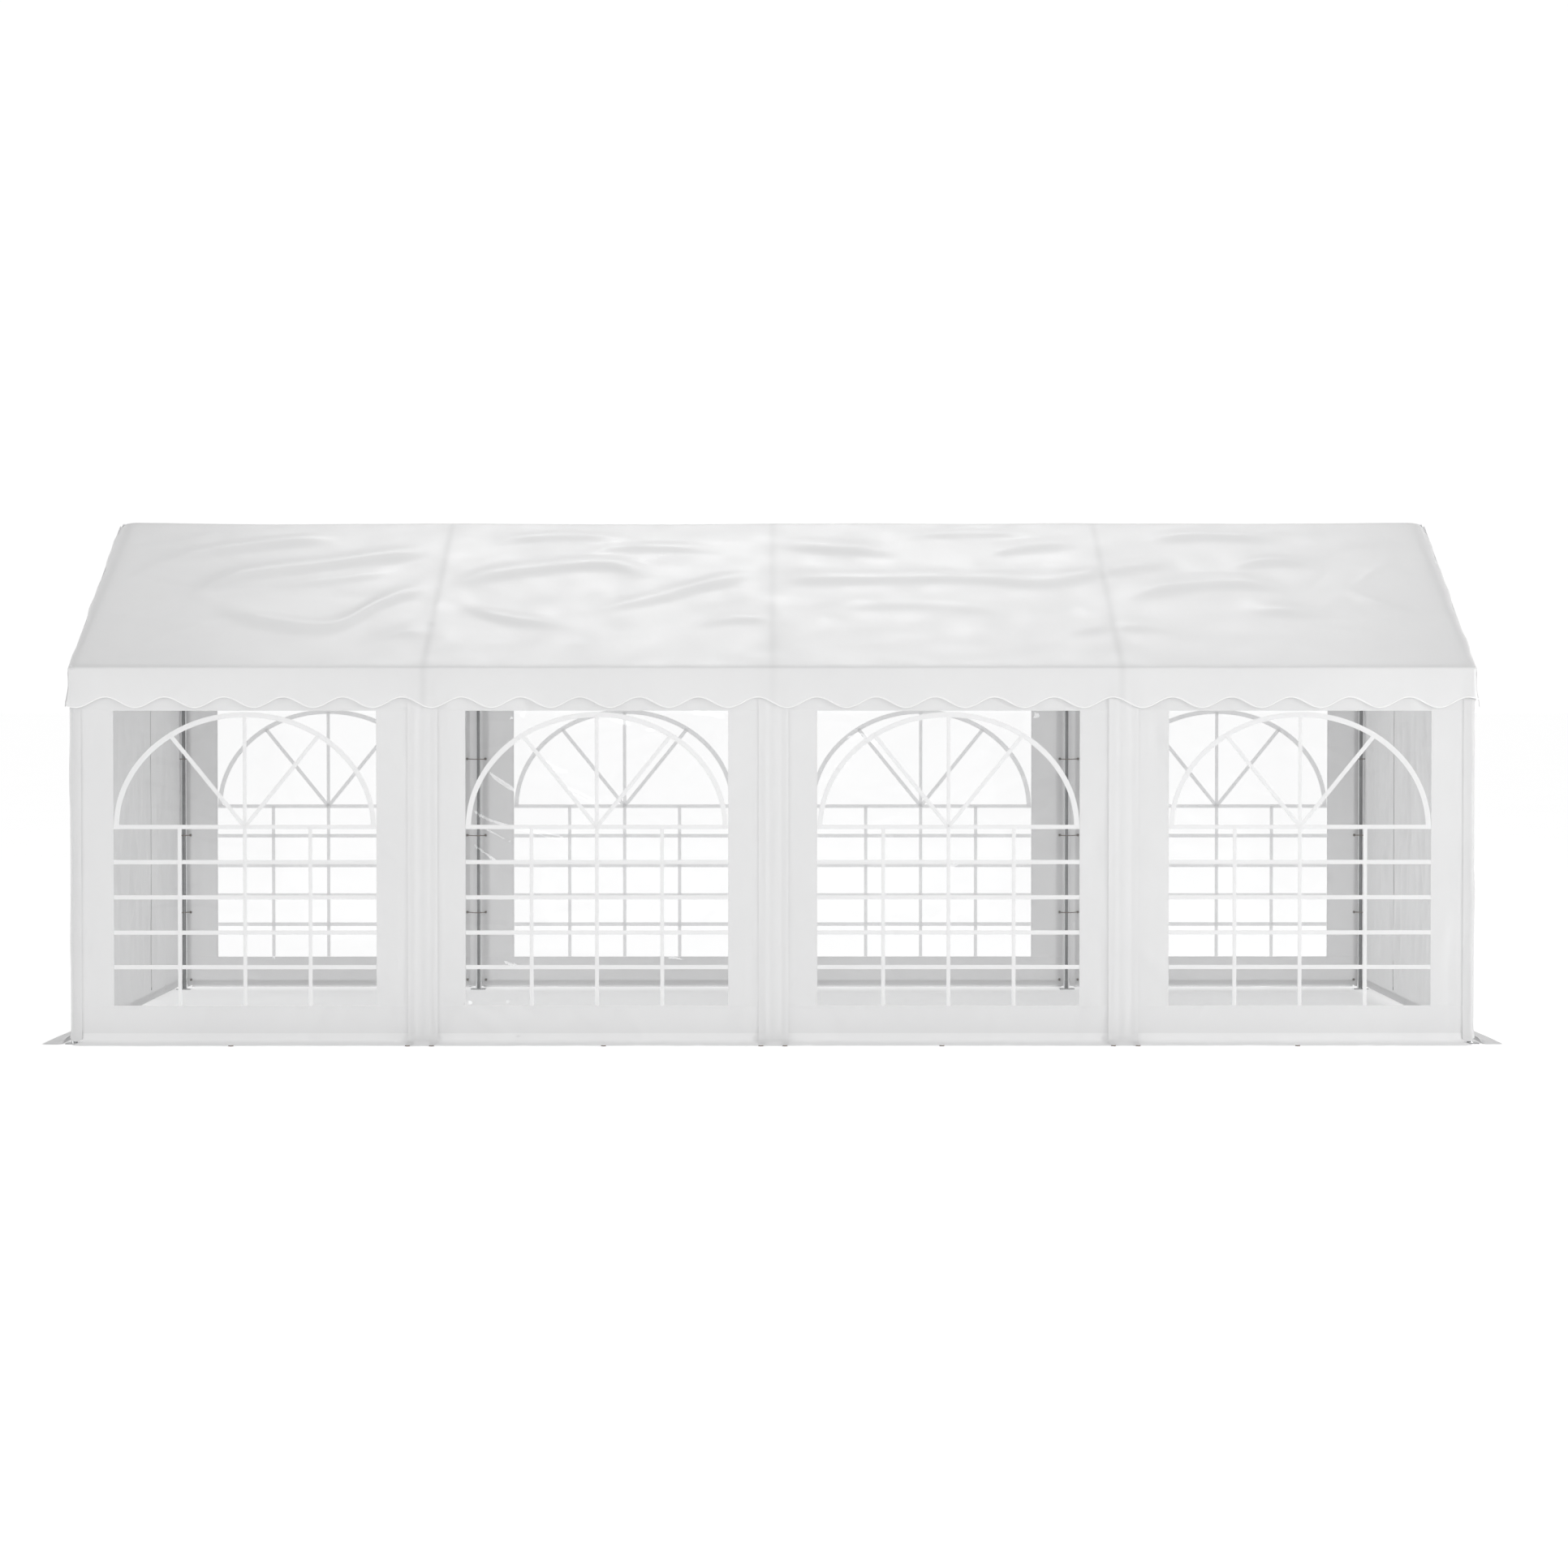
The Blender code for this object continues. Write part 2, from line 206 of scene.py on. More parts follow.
def grid(us, vs, place, keep=None):
    """A patch of cloth over the lines us and vs. place gives x, y and z of u and v, and keep
    says which cells are cloth."""
    u, v = np.meshgrid(us, vs, indexing="ij")
    points = np.stack(place(u, v), -1).reshape(-1, 3)
    first = np.arange(len(us) - 1)[:, None] * len(vs) + np.arange(len(vs) - 1)
    faces = np.stack((first, first + len(vs), first + len(vs) + 1, first + 1), -1)
    if keep is not None:
        faces = faces[keep((us[:-1] + us[1:])[:, None] / 2, (vs[:-1] + vs[1:]) / 2)]
    faces = faces.reshape(-1, 4)
    used, new = np.unique(faces, return_inverse=True)
    return points[used], new.reshape(-1, 4)


def swept(rings, closed=False):
    """A patch through rings of equally many points, with a face on each end unless closed."""
    count, sides = rings.shape[:2]
    here = np.arange(count * sides).reshape(count, sides)
    beside, ahead = np.roll(here, -1, 1), np.roll(here, -1, 0)
    faces = np.stack((here, beside, np.roll(beside, -1, 0), ahead), -1)
    if closed:
        return rings.reshape(-1, 3), faces.reshape(-1, 4).tolist()
    ends = [here[0, ::-1].tolist(), here[-1].tolist()]
    return rings.reshape(-1, 3), faces[:-1].reshape(-1, 4).tolist() + ends


def tube(points, across, up, sides, closed=False):
    """A patch round a line of points. across and up are the half axes of its oval section."""
    turns = np.arange(sides)[:, None] * 2 * pi / sides
    ring = np.cos(turns) * across[:, None] + np.sin(turns) * up[:, None]
    return swept(points[:, None] + ring, closed)


def cord(points, radius, sides=8):
    """A patch for a round cord through points."""
    ahead = directions(points)
    guide = (0.02, 0.03, 1.0) if abs(ahead[0][2]) < 0.9 else (1.0, 0.02, 0.03)
    across = unit(np.cross(ahead, guide))
    return tube(points, radius * across, radius * np.cross(across, ahead), sides)


def piece(name, patches, finish, replaces=(), smoothed=True):
    """One piece made of patches, riding on the frame."""
    points, faces, start = [], [], 0
    for patch_points, patch_faces in patches:
        points.append(patch_points)
        faces += [tuple(int(c) + start for c in face) for face in patch_faces]
        start += len(patch_points)
    mesh = bpy.data.meshes.new(name)
    mesh.from_pydata(np.concatenate(points).tolist(), [], faces)
    mesh.materials.append(finish)
    if smoothed:
        mesh.shade_smooth()
        mesh.set_sharp_from_angle(angle=radians(50))
    made = new_object(name, mesh)
    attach(made, "root")
    if replaces:
        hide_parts(*replaces)
    return made


def new_object(name, data):
    made = bpy.data.objects.new(name, data)
    bpy.context.scene.collection.objects.link(made)
    return made


def on_face(face, along, out, z):
    """A place on a side of the tent, with along running left to right as seen from outside."""
    along, out, z = np.broadcast_arrays(along, out, z)
    plan = {"front": (along, -out), "back": (-along, out),
            "right": (out, along), "left": (-out, -along)}
    return (*plan[face], z)


def points_on(face, along, out, z):
    """The same places as rows of x, y and z, or one place as a point."""
    return np.stack(on_face(face, along, out, z), -1)


class Path:
    """A smooth curve through points of a vertical section, read by its length."""

    def __init__(self, *corners):
        corners = np.array(corners, float)
        before = np.vstack((2 * corners[0] - corners[1], corners))
        after = np.vstack((corners[1:], 2 * corners[-1] - corners[-2]))
        dense = [corners[:1]]
        for k in range(len(corners) - 1):
            t = np.linspace(0, 1, 13)[1:, None]
            a, b, c, d = before[k], corners[k], corners[k + 1], after[k + 1]
            tight = 0.5 * min(1.0, np.linalg.norm(c - b) / max(np.linalg.norm(b - a), 1e-9))
            loose = 0.5 * min(1.0, np.linalg.norm(c - b) / max(np.linalg.norm(d - c), 1e-9))
            start, end = (c - a) * tight, (d - b) * loose
            dense.append(
                (2 * t**3 - 3 * t**2 + 1) * b + (t**3 - 2 * t**2 + t) * start
                + (3 * t**2 - 2 * t**3) * c + (t**3 - t**2) * end
            )
        self.points = np.vstack(dense)
        steps = np.hypot(*np.diff(self.points, axis=0).T)
        self.lengths = np.concatenate(([0], np.cumsum(steps)))
        self.length = self.lengths[-1]

    def at(self, s):
        return [np.interp(s, self.lengths, self.points[:, k]) for k in (0, 1)]

    def lifted(self, s, lift):
        """Out and z of a place that stands lift off the curve."""
        small = 0.002
        (out0, z0), (out1, z1) = self.at(s - small), self.at(s + small)
        share = lift / (np.hypot(out1 - out0, z1 - z0) + 1e-12)
        out, z = self.at(s)
        return out + (z0 - z1) * share, z + (out1 - out0) * share


def round_corner(past):
    """A strip round a corner of the tent, at the length past beyond the round: how far it
    has come along, how far it has gone back, and its outward direction."""
    turn = np.clip(past / CORNER_ARC + 1, 0, 1) * pi / 2
    n_along, n_out = np.sin(turn), np.cos(turn)
    along = np.minimum(past + CORNER_ARC, 0) + CORNER_ROUND * n_along
    return along, CORNER_ROUND * (1 - n_out) + np.maximum(past, 0), n_along, n_out


# Wrinkles.


def folds(seed, count, low, high, length, width, height, slants, spread):
    """Soft folds strewn over an area, as a function of u and v. Each of the three sizes is a
    range, and each fold takes one of the slants."""
    rng = np.random.default_rng(seed)
    made = []
    for _ in range(count):
        slant = slants[rng.integers(len(slants))] + rng.normal() * spread
        made.append((
            rng.uniform(low[0], high[0]),
            rng.uniform(low[1], high[1]),
            slant,
            rng.uniform(*length),
            rng.uniform(*width),
            rng.uniform(*height) * rng.choice((-1.0, 1.0)),
            rng.normal() * 0.5,
        ))

    def relief(u, v):
        total = np.zeros(np.broadcast(u, v).shape)
        for at_u, at_v, slant, long, wide, tall, bend in made:
            along = (u - at_u) * cos(slant) + (v - at_v) * sin(slant)
            across = (v - at_v) * cos(slant) - (u - at_u) * sin(slant) + bend * along**2
            total += tall * np.exp(-((along / long) ** 2) - (across / wide) ** 2)
        return total

    return relief


def drawn_folds(seen, place, ease, profile):
    """Folds along lines read off the photograph's pixels, as a function of u and v. Each line
    runs from left to right and ends with its width and height. place takes its pixels to u and
    v, ease is how long its ends are, and profile is its section."""
    made = []
    for pixels, width, height in seen:
        us, vs = place(*np.array(pixels, float).T)
        made.append((us[0], us[-1], Path(*zip(us, vs)).points.T, width, height))

    def relief(u, v):
        total = np.zeros(np.broadcast(u, v).shape)
        for first, last, spline, width, height in made:
            section = profile((np.interp(u, *spline) - v) / width)
            total += height * between(u, first, last, ease) * section
        return total

    return relief


# Materials. Every one is made of nodes, and its patterns are in metres.


class Nodes:
    """The node tree of a material or a world, with short ways to add to it."""

    def __init__(self, owner, shader="Principled BSDF", place="Object"):
        owner.use_nodes = True
        self.owner = owner
        self.tree = owner.node_tree
        self.shader = self.tree.nodes[shader]
        self.place = self.add("TexCoord").outputs[place]

    def feed(self, node, values):
        """Gives each input that values names another node's output or a fixed value."""
        for key, value in values.items():
            if isinstance(value, bpy.types.NodeSocket):
                self.tree.links.new(value, node.inputs[key])
            else:
                node.inputs[key].default_value = value

    def add(self, kind, values=None, **settings):
        node = self.tree.nodes.new("ShaderNode" + kind)
        for key, value in settings.items():
            setattr(node, key, value)
        self.feed(node, values or {})
        return node

    def axes(self):
        """x, y and z of the place."""
        return self.add("SeparateXYZ", {0: self.place}).outputs

    def noise(self, scale, detail=3.0, rough=0.5, stretch=None):
        source = self.place
        if stretch:
            source = self.add("Mapping", {"Vector": source, "Scale": stretch}).outputs[0]
        values = {"Vector": source, "Scale": scale, "Detail": detail, "Roughness": rough}
        return self.add("TexNoise", values).outputs["Fac"]

    def ramp(self, source, low, high, start=0.3, end=0.7):
        """Runs evenly from low to high as source runs from start to end."""
        values = {"Value": source, "From Min": start, "From Max": end, "To Min": low, "To Max": high}
        return self.add("MapRange", values).outputs["Result"]

    def mix(self, factor, first, second):
        """The first colour where factor is 0 and the second where it is 1."""
        ends = [c if isinstance(c, bpy.types.NodeSocket) else (*c, 1) for c in (first, second)]
        values = {0: factor, 6: ends[0], 7: ends[1]}
        return self.add("Mix", values, data_type="RGBA").outputs[2]

    def math(self, operation, first, second=0.0):
        return self.add("Math", {0: first, 1: second}, operation=operation).outputs[0]

    def bump(self, height, distance, strength, under=None):
        values = {"Height": height, "Distance": distance, "Strength": strength}
        if under is not None:
            values["Normal"] = under
        return self.add("Bump", values).outputs["Normal"]

    def painted_tube_shade(self, colour, places):
        """Painted shade: bands across the length, darkened towards black, where a rafter tube's shadow
        would show through the cloth. Each place is its x and how dark it is."""
        x = self.axes()[0]
        total = 0.0
        for place, depth in places:
            distance = self.math("ABSOLUTE", self.math("SUBTRACT", x, place))
            total = self.math("ADD", total, self.ramp(distance, depth, 0.0, 0.004, 0.032))
        return self.mix(total, colour, (0, 0, 0))

    def weave(self, thread):
        """Crossing threads, as a height from 0 to about 1. Two of the three directions lie in
        any upright side of the tent."""
        turns = [self.math("MULTIPLY", place, 2 * pi / thread) for place in self.axes()]
        waves = [self.math("SINE", turn) for turn in turns]
        total = self.math("ADD", self.math("ADD", waves[0], waves[1]), waves[2])
        return self.math("MULTIPLY_ADD", total, 0.17)

    def end_with(self, share, first, second):
        """Ends the material with two nodes' shaders, the second in the given share."""
        values = {0: share, 1: first.outputs[0], 2: second.outputs[0]}
        mixed = self.add("MixShader", values).outputs[0]
        self.feed(self.tree.nodes["Material Output"], {"Surface": mixed})


def cloth_material(name, light, dark, through, rough, rafter_shade_bands=()):
    """White coated cloth: a faint weave under the coating, soft blotches, and light that comes through
    it. Given places over the rafters, it also gets bands of painted shade there."""
    made = Nodes(bpy.data.materials.new(name))
    colour = made.mix(made.ramp(made.noise(1.3, 4.0, 0.55), 0, 1), light, dark)
    # Painted shade of the rafter tubes, in bands across the length.
    if rafter_shade_bands:
        colour = made.painted_tube_shade(colour, rafter_shade_bands)
    fine = made.bump(made.weave(0.0032), 0.00012, 0.55)
    soft = made.bump(made.noise(26.0, 2.0), 0.0007, 0.5, under=fine)
    made.feed(made.shader, {
        "Base Color": colour,
        "Roughness": made.ramp(made.noise(5.0), rough - 0.05, rough + 0.06),
        "Specular IOR Level": 0.32,
        "Normal": soft,
    })
    glow = made.add("BsdfTranslucent", {"Color": colour, "Normal": soft})
    made.end_with(through, made.shader, glow)
    return made.owner


def film_material():
    """Clear soft film: almost all light goes straight through, and the rest shines back."""
    made = Nodes(bpy.data.materials.new("window_film"))
    ripple = made.bump(made.noise(7.0, 2.0, 0.4, (1.0, 1.0, 0.55)), 0.003, 0.5)
    tint = made.ramp(made.noise(1.1, 2.0), 0, 1)
    seen_through = made.mix(tint, (0.985, 0.986, 0.987), (0.995, 0.995, 0.996))
    clear = made.add("BsdfTransparent", {"Color": seen_through})
    made.feed(made.shader, {
        "Base Color": made.mix(tint, (0.98, 0.985, 0.99), (0.94, 0.95, 0.96)),
        "Metallic": 1.0,
        "Roughness": made.ramp(made.noise(3.0), 0.03, 0.07),
        "Normal": ripple,
    })
    facing = made.add("Fresnel", {"IOR": 1.45, "Normal": ripple})
    made.end_with(facing.outputs[0], clear, made.shader)
    return made.owner


def steel_material(name, light, dark, rough):
    """Bright galvanised metal with faint spangles and a fine grain. Its colour turns near white towards
    the edges seen side-on: a painted highlight for the bright cloth it would reflect.
    """
    made = Nodes(bpy.data.materials.new(name))
    spangle = made.add("TexVoronoi", {"Vector": made.place, "Scale": 90.0}).outputs["Distance"]
    cloud = made.math("ADD", made.math("MULTIPLY", spangle, 0.15), made.noise(6.0, 4.0))
    tone = made.mix(made.ramp(cloud, 0, 1, 0.4, 0.9), light, dark)
    # Painted highlight: the colour lightens to near white where the surface turns away from view.
    edge_highlight = made.add("LayerWeight").outputs["Facing"]
    made.feed(made.shader, {
        "Base Color": made.mix(made.ramp(edge_highlight, 0, 1, 0.10, 0.25), tone, (0.97, 0.975, 0.98)),
        "Metallic": 1.0,
        "Roughness": made.ramp(cloud, rough - 0.06, rough + 0.08),
        "Normal": made.bump(made.noise(220.0, 2.0), 0.0002, 0.25),
    })
    return made.owner


def solid_material(name, light, dark, rough, scale, grain):
    """Plain moulded or woven stuff: two tones in fine noise and a matching bump."""
    made = Nodes(bpy.data.materials.new(name))
    noise = made.noise(scale)
    made.feed(made.shader, {
        "Base Color": made.mix(made.ramp(noise, 0, 1), light, dark),
        "Roughness": made.ramp(noise, rough - 0.06, rough + 0.06),
        "Normal": made.bump(noise, grain, 0.6),
    })
    return made.owner


# The roof cloth gets painted shade in bands over the three inner rafters, fainter over the middle one.
ROOF_CLOTH = cloth_material("roof_cloth", (0.84, 0.84, 0.84), (0.815, 0.815, 0.817), 0.22, 0.42,
                            [(post, 0.025 if abs(post) < 1 else 0.05) for post in POSTS[1:-1]])
WALL_CLOTH = cloth_material("wall_cloth", (0.805, 0.805, 0.806), (0.78, 0.78, 0.782), 0.27, 0.46)
STRIP_CLOTH = cloth_material("strip_cloth", (0.82, 0.82, 0.821), (0.80, 0.80, 0.802), 0.23, 0.46)
SKIRT_CLOTH = cloth_material("skirt_cloth", (0.86, 0.86, 0.861), (0.84, 0.84, 0.842), 0.10, 0.50)
BINDING = cloth_material("binding_tape", (0.90, 0.90, 0.90), (0.86, 0.86, 0.86), 0.10, 0.60)
BAR_STRIP = cloth_material("window_bar_strip", (0.92, 0.92, 0.92), (0.90, 0.90, 0.903), 0.36, 0.42)
FILM = film_material()
STEEL = steel_material("galvanised_tube", (0.26, 0.263, 0.266), (0.21, 0.213, 0.216), 0.32)
EYELET_METAL = steel_material("eyelet_metal", (0.36, 0.36, 0.36), (0.22, 0.22, 0.22), 0.34)
CORD = solid_material("elastic_cord", (0.26, 0.22, 0.18), (0.15, 0.13, 0.115), 0.8, 900.0, 0.0006)
ZIP_TEETH = solid_material("zip_teeth", (0.62, 0.62, 0.62), (0.50, 0.50, 0.50), 0.5, 400.0, 0.0003)


# Roof cover.


def roof_section(w):
    """The cover's section at the distance w from the ridge line: out, z and the normal."""
    first = np.minimum(w / COVER_LIFT, PITCH)
    along = np.clip(w - RIDGE_ARC, 0, SLOPE)
    second = np.clip((w - RIDGE_ARC - SLOPE) / EAVE_ROUND, 0, pi / 2 - PITCH)
    lap = np.maximum(w - RIDGE_ARC - SLOPE - EAVE_ARC, 0)
    out = COVER_LIFT * np.sin(first) + along * cos(PITCH)
    out += EAVE_ROUND * (np.sin(PITCH + second) - sin(PITCH))
    z = RIDGE_Z + COVER_LIFT * np.cos(first) - along * sin(PITCH)
    z -= EAVE_ROUND * (cos(PITCH) - np.cos(PITCH + second)) + lap
    out -= 0.0028 * (lap / COVER_LAP) ** 2
    return out, z, np.sin(first + second), np.cos(first + second)


def end_lean(z):
    """How far the tent's end leans out at a height."""
    return RIDGE_LEAN * np.clip((z - EAVE_Z) / (RIDGE_Z - EAVE_Z), 0, 1) ** 1.15


def cover_end(z, w, side):
    """Where the cover's end stands: it leans out to the ridge and is a little wavy."""
    wave = 0.0045 * np.sin(w * 7.3 + side) + 0.003 * np.sin(w * 17.0 + 2 * side)
    return COVER_END + end_lean(z) + wave * smooth(np.minimum(w, SLOPE - w) / 0.3)


def on_roof(x, y):
    """Where pixels of the photograph lie on the front slope: x and the distance from the
    ridge line."""
    below = y - VANISHING_PIXEL[1]
    top = RIDGE_Z + COVER_LIFT - CAMERA_Z
    out = (below * CAMERA_BACK + FOCAL_PIXELS * top) / (FOCAL_PIXELS * tan(PITCH) + below)
    return (x - VANISHING_PIXEL[0]) * (CAMERA_BACK - out) / FOCAL_PIXELS, out / cos(PITCH)


def steep_below(up):
    """The section of a roof fold, with its steep side toward the eave."""
    return 2.0 * np.where(up < 0.6, bell(up - 0.6, 0.9), bell(up - 0.6, 1.7))


# The long folds of the front slope, as in the photograph.
SEEN_FOLDS = drawn_folds((
    (((225, 735), (304, 713), (400, 701), (545, 683)), 0.085, 0.018),
    (((262, 752), (330, 770), (410, 776), (472, 746), (541, 724)), 0.075, 0.016),
    (((180, 700), (260, 684), (350, 672), (430, 668)), 0.075, 0.014),
    (((547, 724), (654, 706), (747, 699), (815, 713)), 0.085, 0.014),
    (((556, 744), (622, 765), (710, 773)), 0.065, 0.011),
    (((725, 754), (800, 742), (870, 724), (940, 709)), 0.075, 0.012),
    (((600, 672), (690, 663), (790, 668)), 0.070, 0.010),
    (((945, 676), (1020, 679), (1120, 685)), 0.080, 0.012),
    (((945, 719), (1070, 716), (1190, 715), (1290, 721), (1375, 707), (1460, 695)), 0.085, 0.011),
    (((1010, 752), (1130, 748), (1260, 757)), 0.090, 0.007),
    (((1190, 690), (1270, 678), (1345, 672)), 0.075, 0.009),
    (((1380, 741), (1450, 727), (1530, 722), (1600, 731)), 0.080, 0.013),
    (((1500, 703), (1570, 694), (1640, 699)), 0.060, 0.012),
    (((1640, 716), (1680, 741), (1745, 760)), 0.060, 0.012),
    (((1525, 751), (1585, 757), (1650, 761)), 0.070, 0.012),
    (((1655, 731), (1690, 708), (1722, 688)), 0.035, 0.005),
    (((1648, 692), (1690, 704), (1725, 728)), 0.035, 0.005),
    (((1400, 670), (1480, 663), (1590, 668)), 0.075, 0.013),
    (((200, 672), (290, 660), (380, 656)), 0.060, 0.008),
    (((330, 725), (420, 716), (500, 706)), 0.060, 0.008),
    (((440, 795), (500, 783), (560, 786)), 0.060, 0.008),
    (((700, 684), (800, 677), (900, 681)), 0.065, 0.009),
    (((840, 775), (910, 766), (990, 770)), 0.065, 0.007),
    (((1100, 664), (1190, 659), (1290, 662)), 0.055, 0.009),
    (((1290, 785), (1380, 776), (1470, 779)), 0.070, 0.007),
    (((1440, 655), (1520, 653), (1620, 657)), 0.050, 0.008),
), on_roof, 0.3, steep_below)
FRONT_FOLDS = folds(11, 60, (-4.0, 0.05), (4.0, 1.5), (0.35, 1.1), (0.05, 0.14), (0.001, 0.0045),
                    (-0.12, 0.0, 0.14, 0.3), 0.13)
BACK_FOLDS = folds(12, 80, (-4.0, 0.05), (4.0, 1.6), (0.35, 1.1), (0.05, 0.14), (0.003, 0.010),
                   (-0.3, -0.14, 0.0, 0.12), 0.13)
END_FOLDS = folds(13, 26, (3.2, 0.1), (3.95, 2.0), (0.12, 0.3), (0.025, 0.06), (0.0015, 0.004),
                  (1.1, -0.5, 0.5), 0.3)
RIDGE_FOLDS = folds(14, 26, (-4.0, -0.1), (4.0, 0.1), (0.2, 0.6), (0.1, 0.2), (0.001, 0.003), (0.0,), 0.1)


def roof_relief(x, w, front):
    """How far the cloth stands above its plain shape: it sags between the rafters and has
    long soft folds, and it is held at the ridge, the rafters and the eave."""
    t = np.clip((w - RIDGE_ARC) / SLOPE, 0, 1)
    phase = np.clip((x - POSTS[0]) / BAY, 0, BAYS) % 1.0
    sag = -0.012 * 4 * phase * (1 - phase) * np.sin(pi * t) ** 0.7
    strewn = np.where(front, FRONT_FOLDS(x, w) + SEEN_FOLDS(x, w), BACK_FOLDS(x, w))
    strewn = strewn + END_FOLDS(np.abs(x), w)
    free = 1 - 0.85 * sum(bell(x - post, 0.05) for post in POSTS)
    ridge_end = 0.006 * smooth((np.abs(x) - 3.3) / 0.6)
    ridge = (RIDGE_FOLDS(x, 0 * w) + ridge_end) * bell(w, 0.22)
    return sag + strewn * free * smooth(t / 0.12) * smooth((1 - t) / 0.1) + ridge


def canopy():
    """One continuous sheet from the lap over the front valance, over the ridge, to the back."""
    flat = COVER_END - ROLL_IN
    roll = 0.5 * pi * hypot(ROLL_IN, ROLL_DROP) / 2**0.5

    def place(u, v):
        side, far, w = np.sign(u), np.abs(u), np.abs(v)
        out, z, n_out, n_z = roof_section(w)
        end = cover_end(z, w, side)
        turn = np.clip((far - flat) / roll, 0, 1) * pi / 2
        x = far + (end - COVER_END) * smooth((far - 3.0) / 0.95)
        x = np.where(turn > 0, end - ROLL_IN * (1 - np.sin(turn)), x)
        lift = roof_relief(side * x, w, v < 0) * (1 - smooth(turn / 0.9))
        lift -= ROLL_DROP * (1 - np.cos(turn))
        lift -= 0.014 * smooth((far - flat + 0.05) / (roll + 0.05)) * bell(w, 0.2)
        return side * x, np.sign(v) * (out + n_out * lift), z + n_z * lift

    eave = RIDGE_ARC + SLOPE
    turned = eave + EAVE_ARC
    across = runs((0.026, 0, RIDGE_ARC, eave), (0.0035, eave, turned), (0.006, turned, SECTION))
    posts = [post for post in POSTS if 0 < post < flat]
    along = runs((0.026, 0, *posts, flat), (0.005, flat, flat + roll))
    patch = grid(mirrored(along), mirrored(across), place)
    return piece("canopy", [patch], ROOF_CLOTH, ["roof_cover"])


# Valances and gables.


def scallop(along, low):
    return SCALLOP_MEAN_Z - SCALLOP_HALF_HEIGHT * np.cos(2 * pi * (along - low) / SCALLOP_PITCH)


def scalloped(name, node, us, vs, place, foot, normals):
    """A hung sheet with the tape that is folded over its scalloped edge, where v is foot."""
    edge = np.stack(place(us, foot + 0 * us), -1)
    down = np.cross(directions(edge), normals)
    tape = tube(edge, BINDING_HALF * down, BINDING_THICK * normals, 10)
    made = piece(name, [grid(us, vs, place)], ROOF_CLOTH, [node])
    bound = piece(f"{name}_binding", [tape], BINDING)


def side_valance(face, seed):
    """The scalloped strip along a long side. It wraps round both corners."""
    level = GABLE_OUT + 0.0025 - CORNER_ROUND
    end = level + CORNER_ARC + 0.014
    ripples = folds(seed, 60, (-4.0, 1.9), (4.0, 2.1), (0.05, 0.16), (0.04, 0.1), (0.0005, 0.0022),
                    (pi / 2,), 0.3)

    def plan(u):
        """Along and out of the strip, and its outward direction, at the length u."""
        along, back, n_along, n_out = round_corner(np.abs(u) - level - CORNER_ARC)
        side = np.sign(u)
        return side * (level + along), VALANCE_OUT + 0.0008 - back, side * n_along, n_out

    def place(u, v):
        along, out, n_along, n_out = plan(u)
        z = VALANCE_TOP + (scallop(along, FRONT_FIRST_LOW) - VALANCE_TOP) * v
        loose = smooth((VALANCE_TOP - z) / 0.16)
        lift = loose * (0.0025 + np.abs(ripples(along, z)) + 0.0012 * np.sin(along * 5.1))
        lift = lift + 0.010 * smooth((2.03 - z) / 0.1) * smooth((np.abs(along) - 3.9) / 0.1)
        crumple = 0.004 * bell(along + 1.95, 0.025) * bell(z - 1.985, 0.018)
        return on_face(face, along + n_along * (lift + crumple), out + n_out * (lift + crumple), z)

    us = mirrored(runs((0.0145, 0, level), (0.003, level, end)))
    normals = points_on(face, *plan(us)[2:], 0.0)
    scalloped(f"{face}_valance", f"valance_{face}", us, lines(0.09, 0, 1), place, 1.0,
              normals)


def gable_top(along):
    """Height of the gable's upper edge, tucked into the canopy's rolled end."""
    out, z, n_out, n_z = roof_section(np.linspace(0, SECTION, 600))
    tuck = 0.0125
    return np.interp(np.abs(along), out - tuck * n_out, z - tuck * n_z)


def gable(face, seed):
    """The triangle under a roof end with the scalloped edge along its foot, one sheet."""
    half = VALANCE_OUT - 0.008
    pulls = folds(seed, 34, (-1.9, 2.05), (1.9, 2.95), (0.12, 0.4), (0.03, 0.08), (0.001, 0.0045),
                  (0.5, -0.5, 1.35, -1.35), 0.25)
    flares = folds(seed + 1, 18, (-2.0, 1.95), (2.0, 2.0), (0.03, 0.05), (0.09, 0.16), (0.002, 0.008),
                   (pi / 2,), 0.1)

    def place(u, v):
        foot, top = scallop(u, 0), gable_top(u)
        z = foot + (top - foot) * v
        loose = smooth((2.05 - z) / 0.14)
        edge = smooth((half - np.abs(u)) / 0.12)
        flare = loose * (0.012 + np.abs(flares(u, z)) + 0.034 * bell(np.abs(u) - 1.84, 0.12))
        belly = pulls(u, z) * smooth((top - z) / 0.12) * edge * (1 - loose)
        over_bar = 0.002 * bell(z - EAVE_Z, 0.05)
        return on_face(face, u, GABLE_OUT + end_lean(z) + flare + belly + over_bar, z)

    us, vs = lines(0.0145, -half, half), runs((0.1, 0, 0.5), (0.035, 0.5, 1))
    normals = points_on(face, 0 * us, 1.0, 0.0)
    scalloped(f"{face}_gable_cloth", f"gable_{face}", us, vs, place, 0.0, normals)


# Walls.

SKIRT = Path(
    (0.0012, SKIRT_TOP_Z), (0.0014, 0.048), (0.003, 0.034), (0.012, 0.018),
    (0.04, 0.0090), (0.09, 0.0058), (SKIRT_REACH, 0.0042),
)


def beside_nearest(places, along):
    """How far along is right of the nearest of the places."""
    apart = along[..., None] - np.asarray(places)
    nearest = np.abs(apart).argmin(-1)[..., None]
    return np.take_along_axis(apart, nearest, -1)[..., 0]


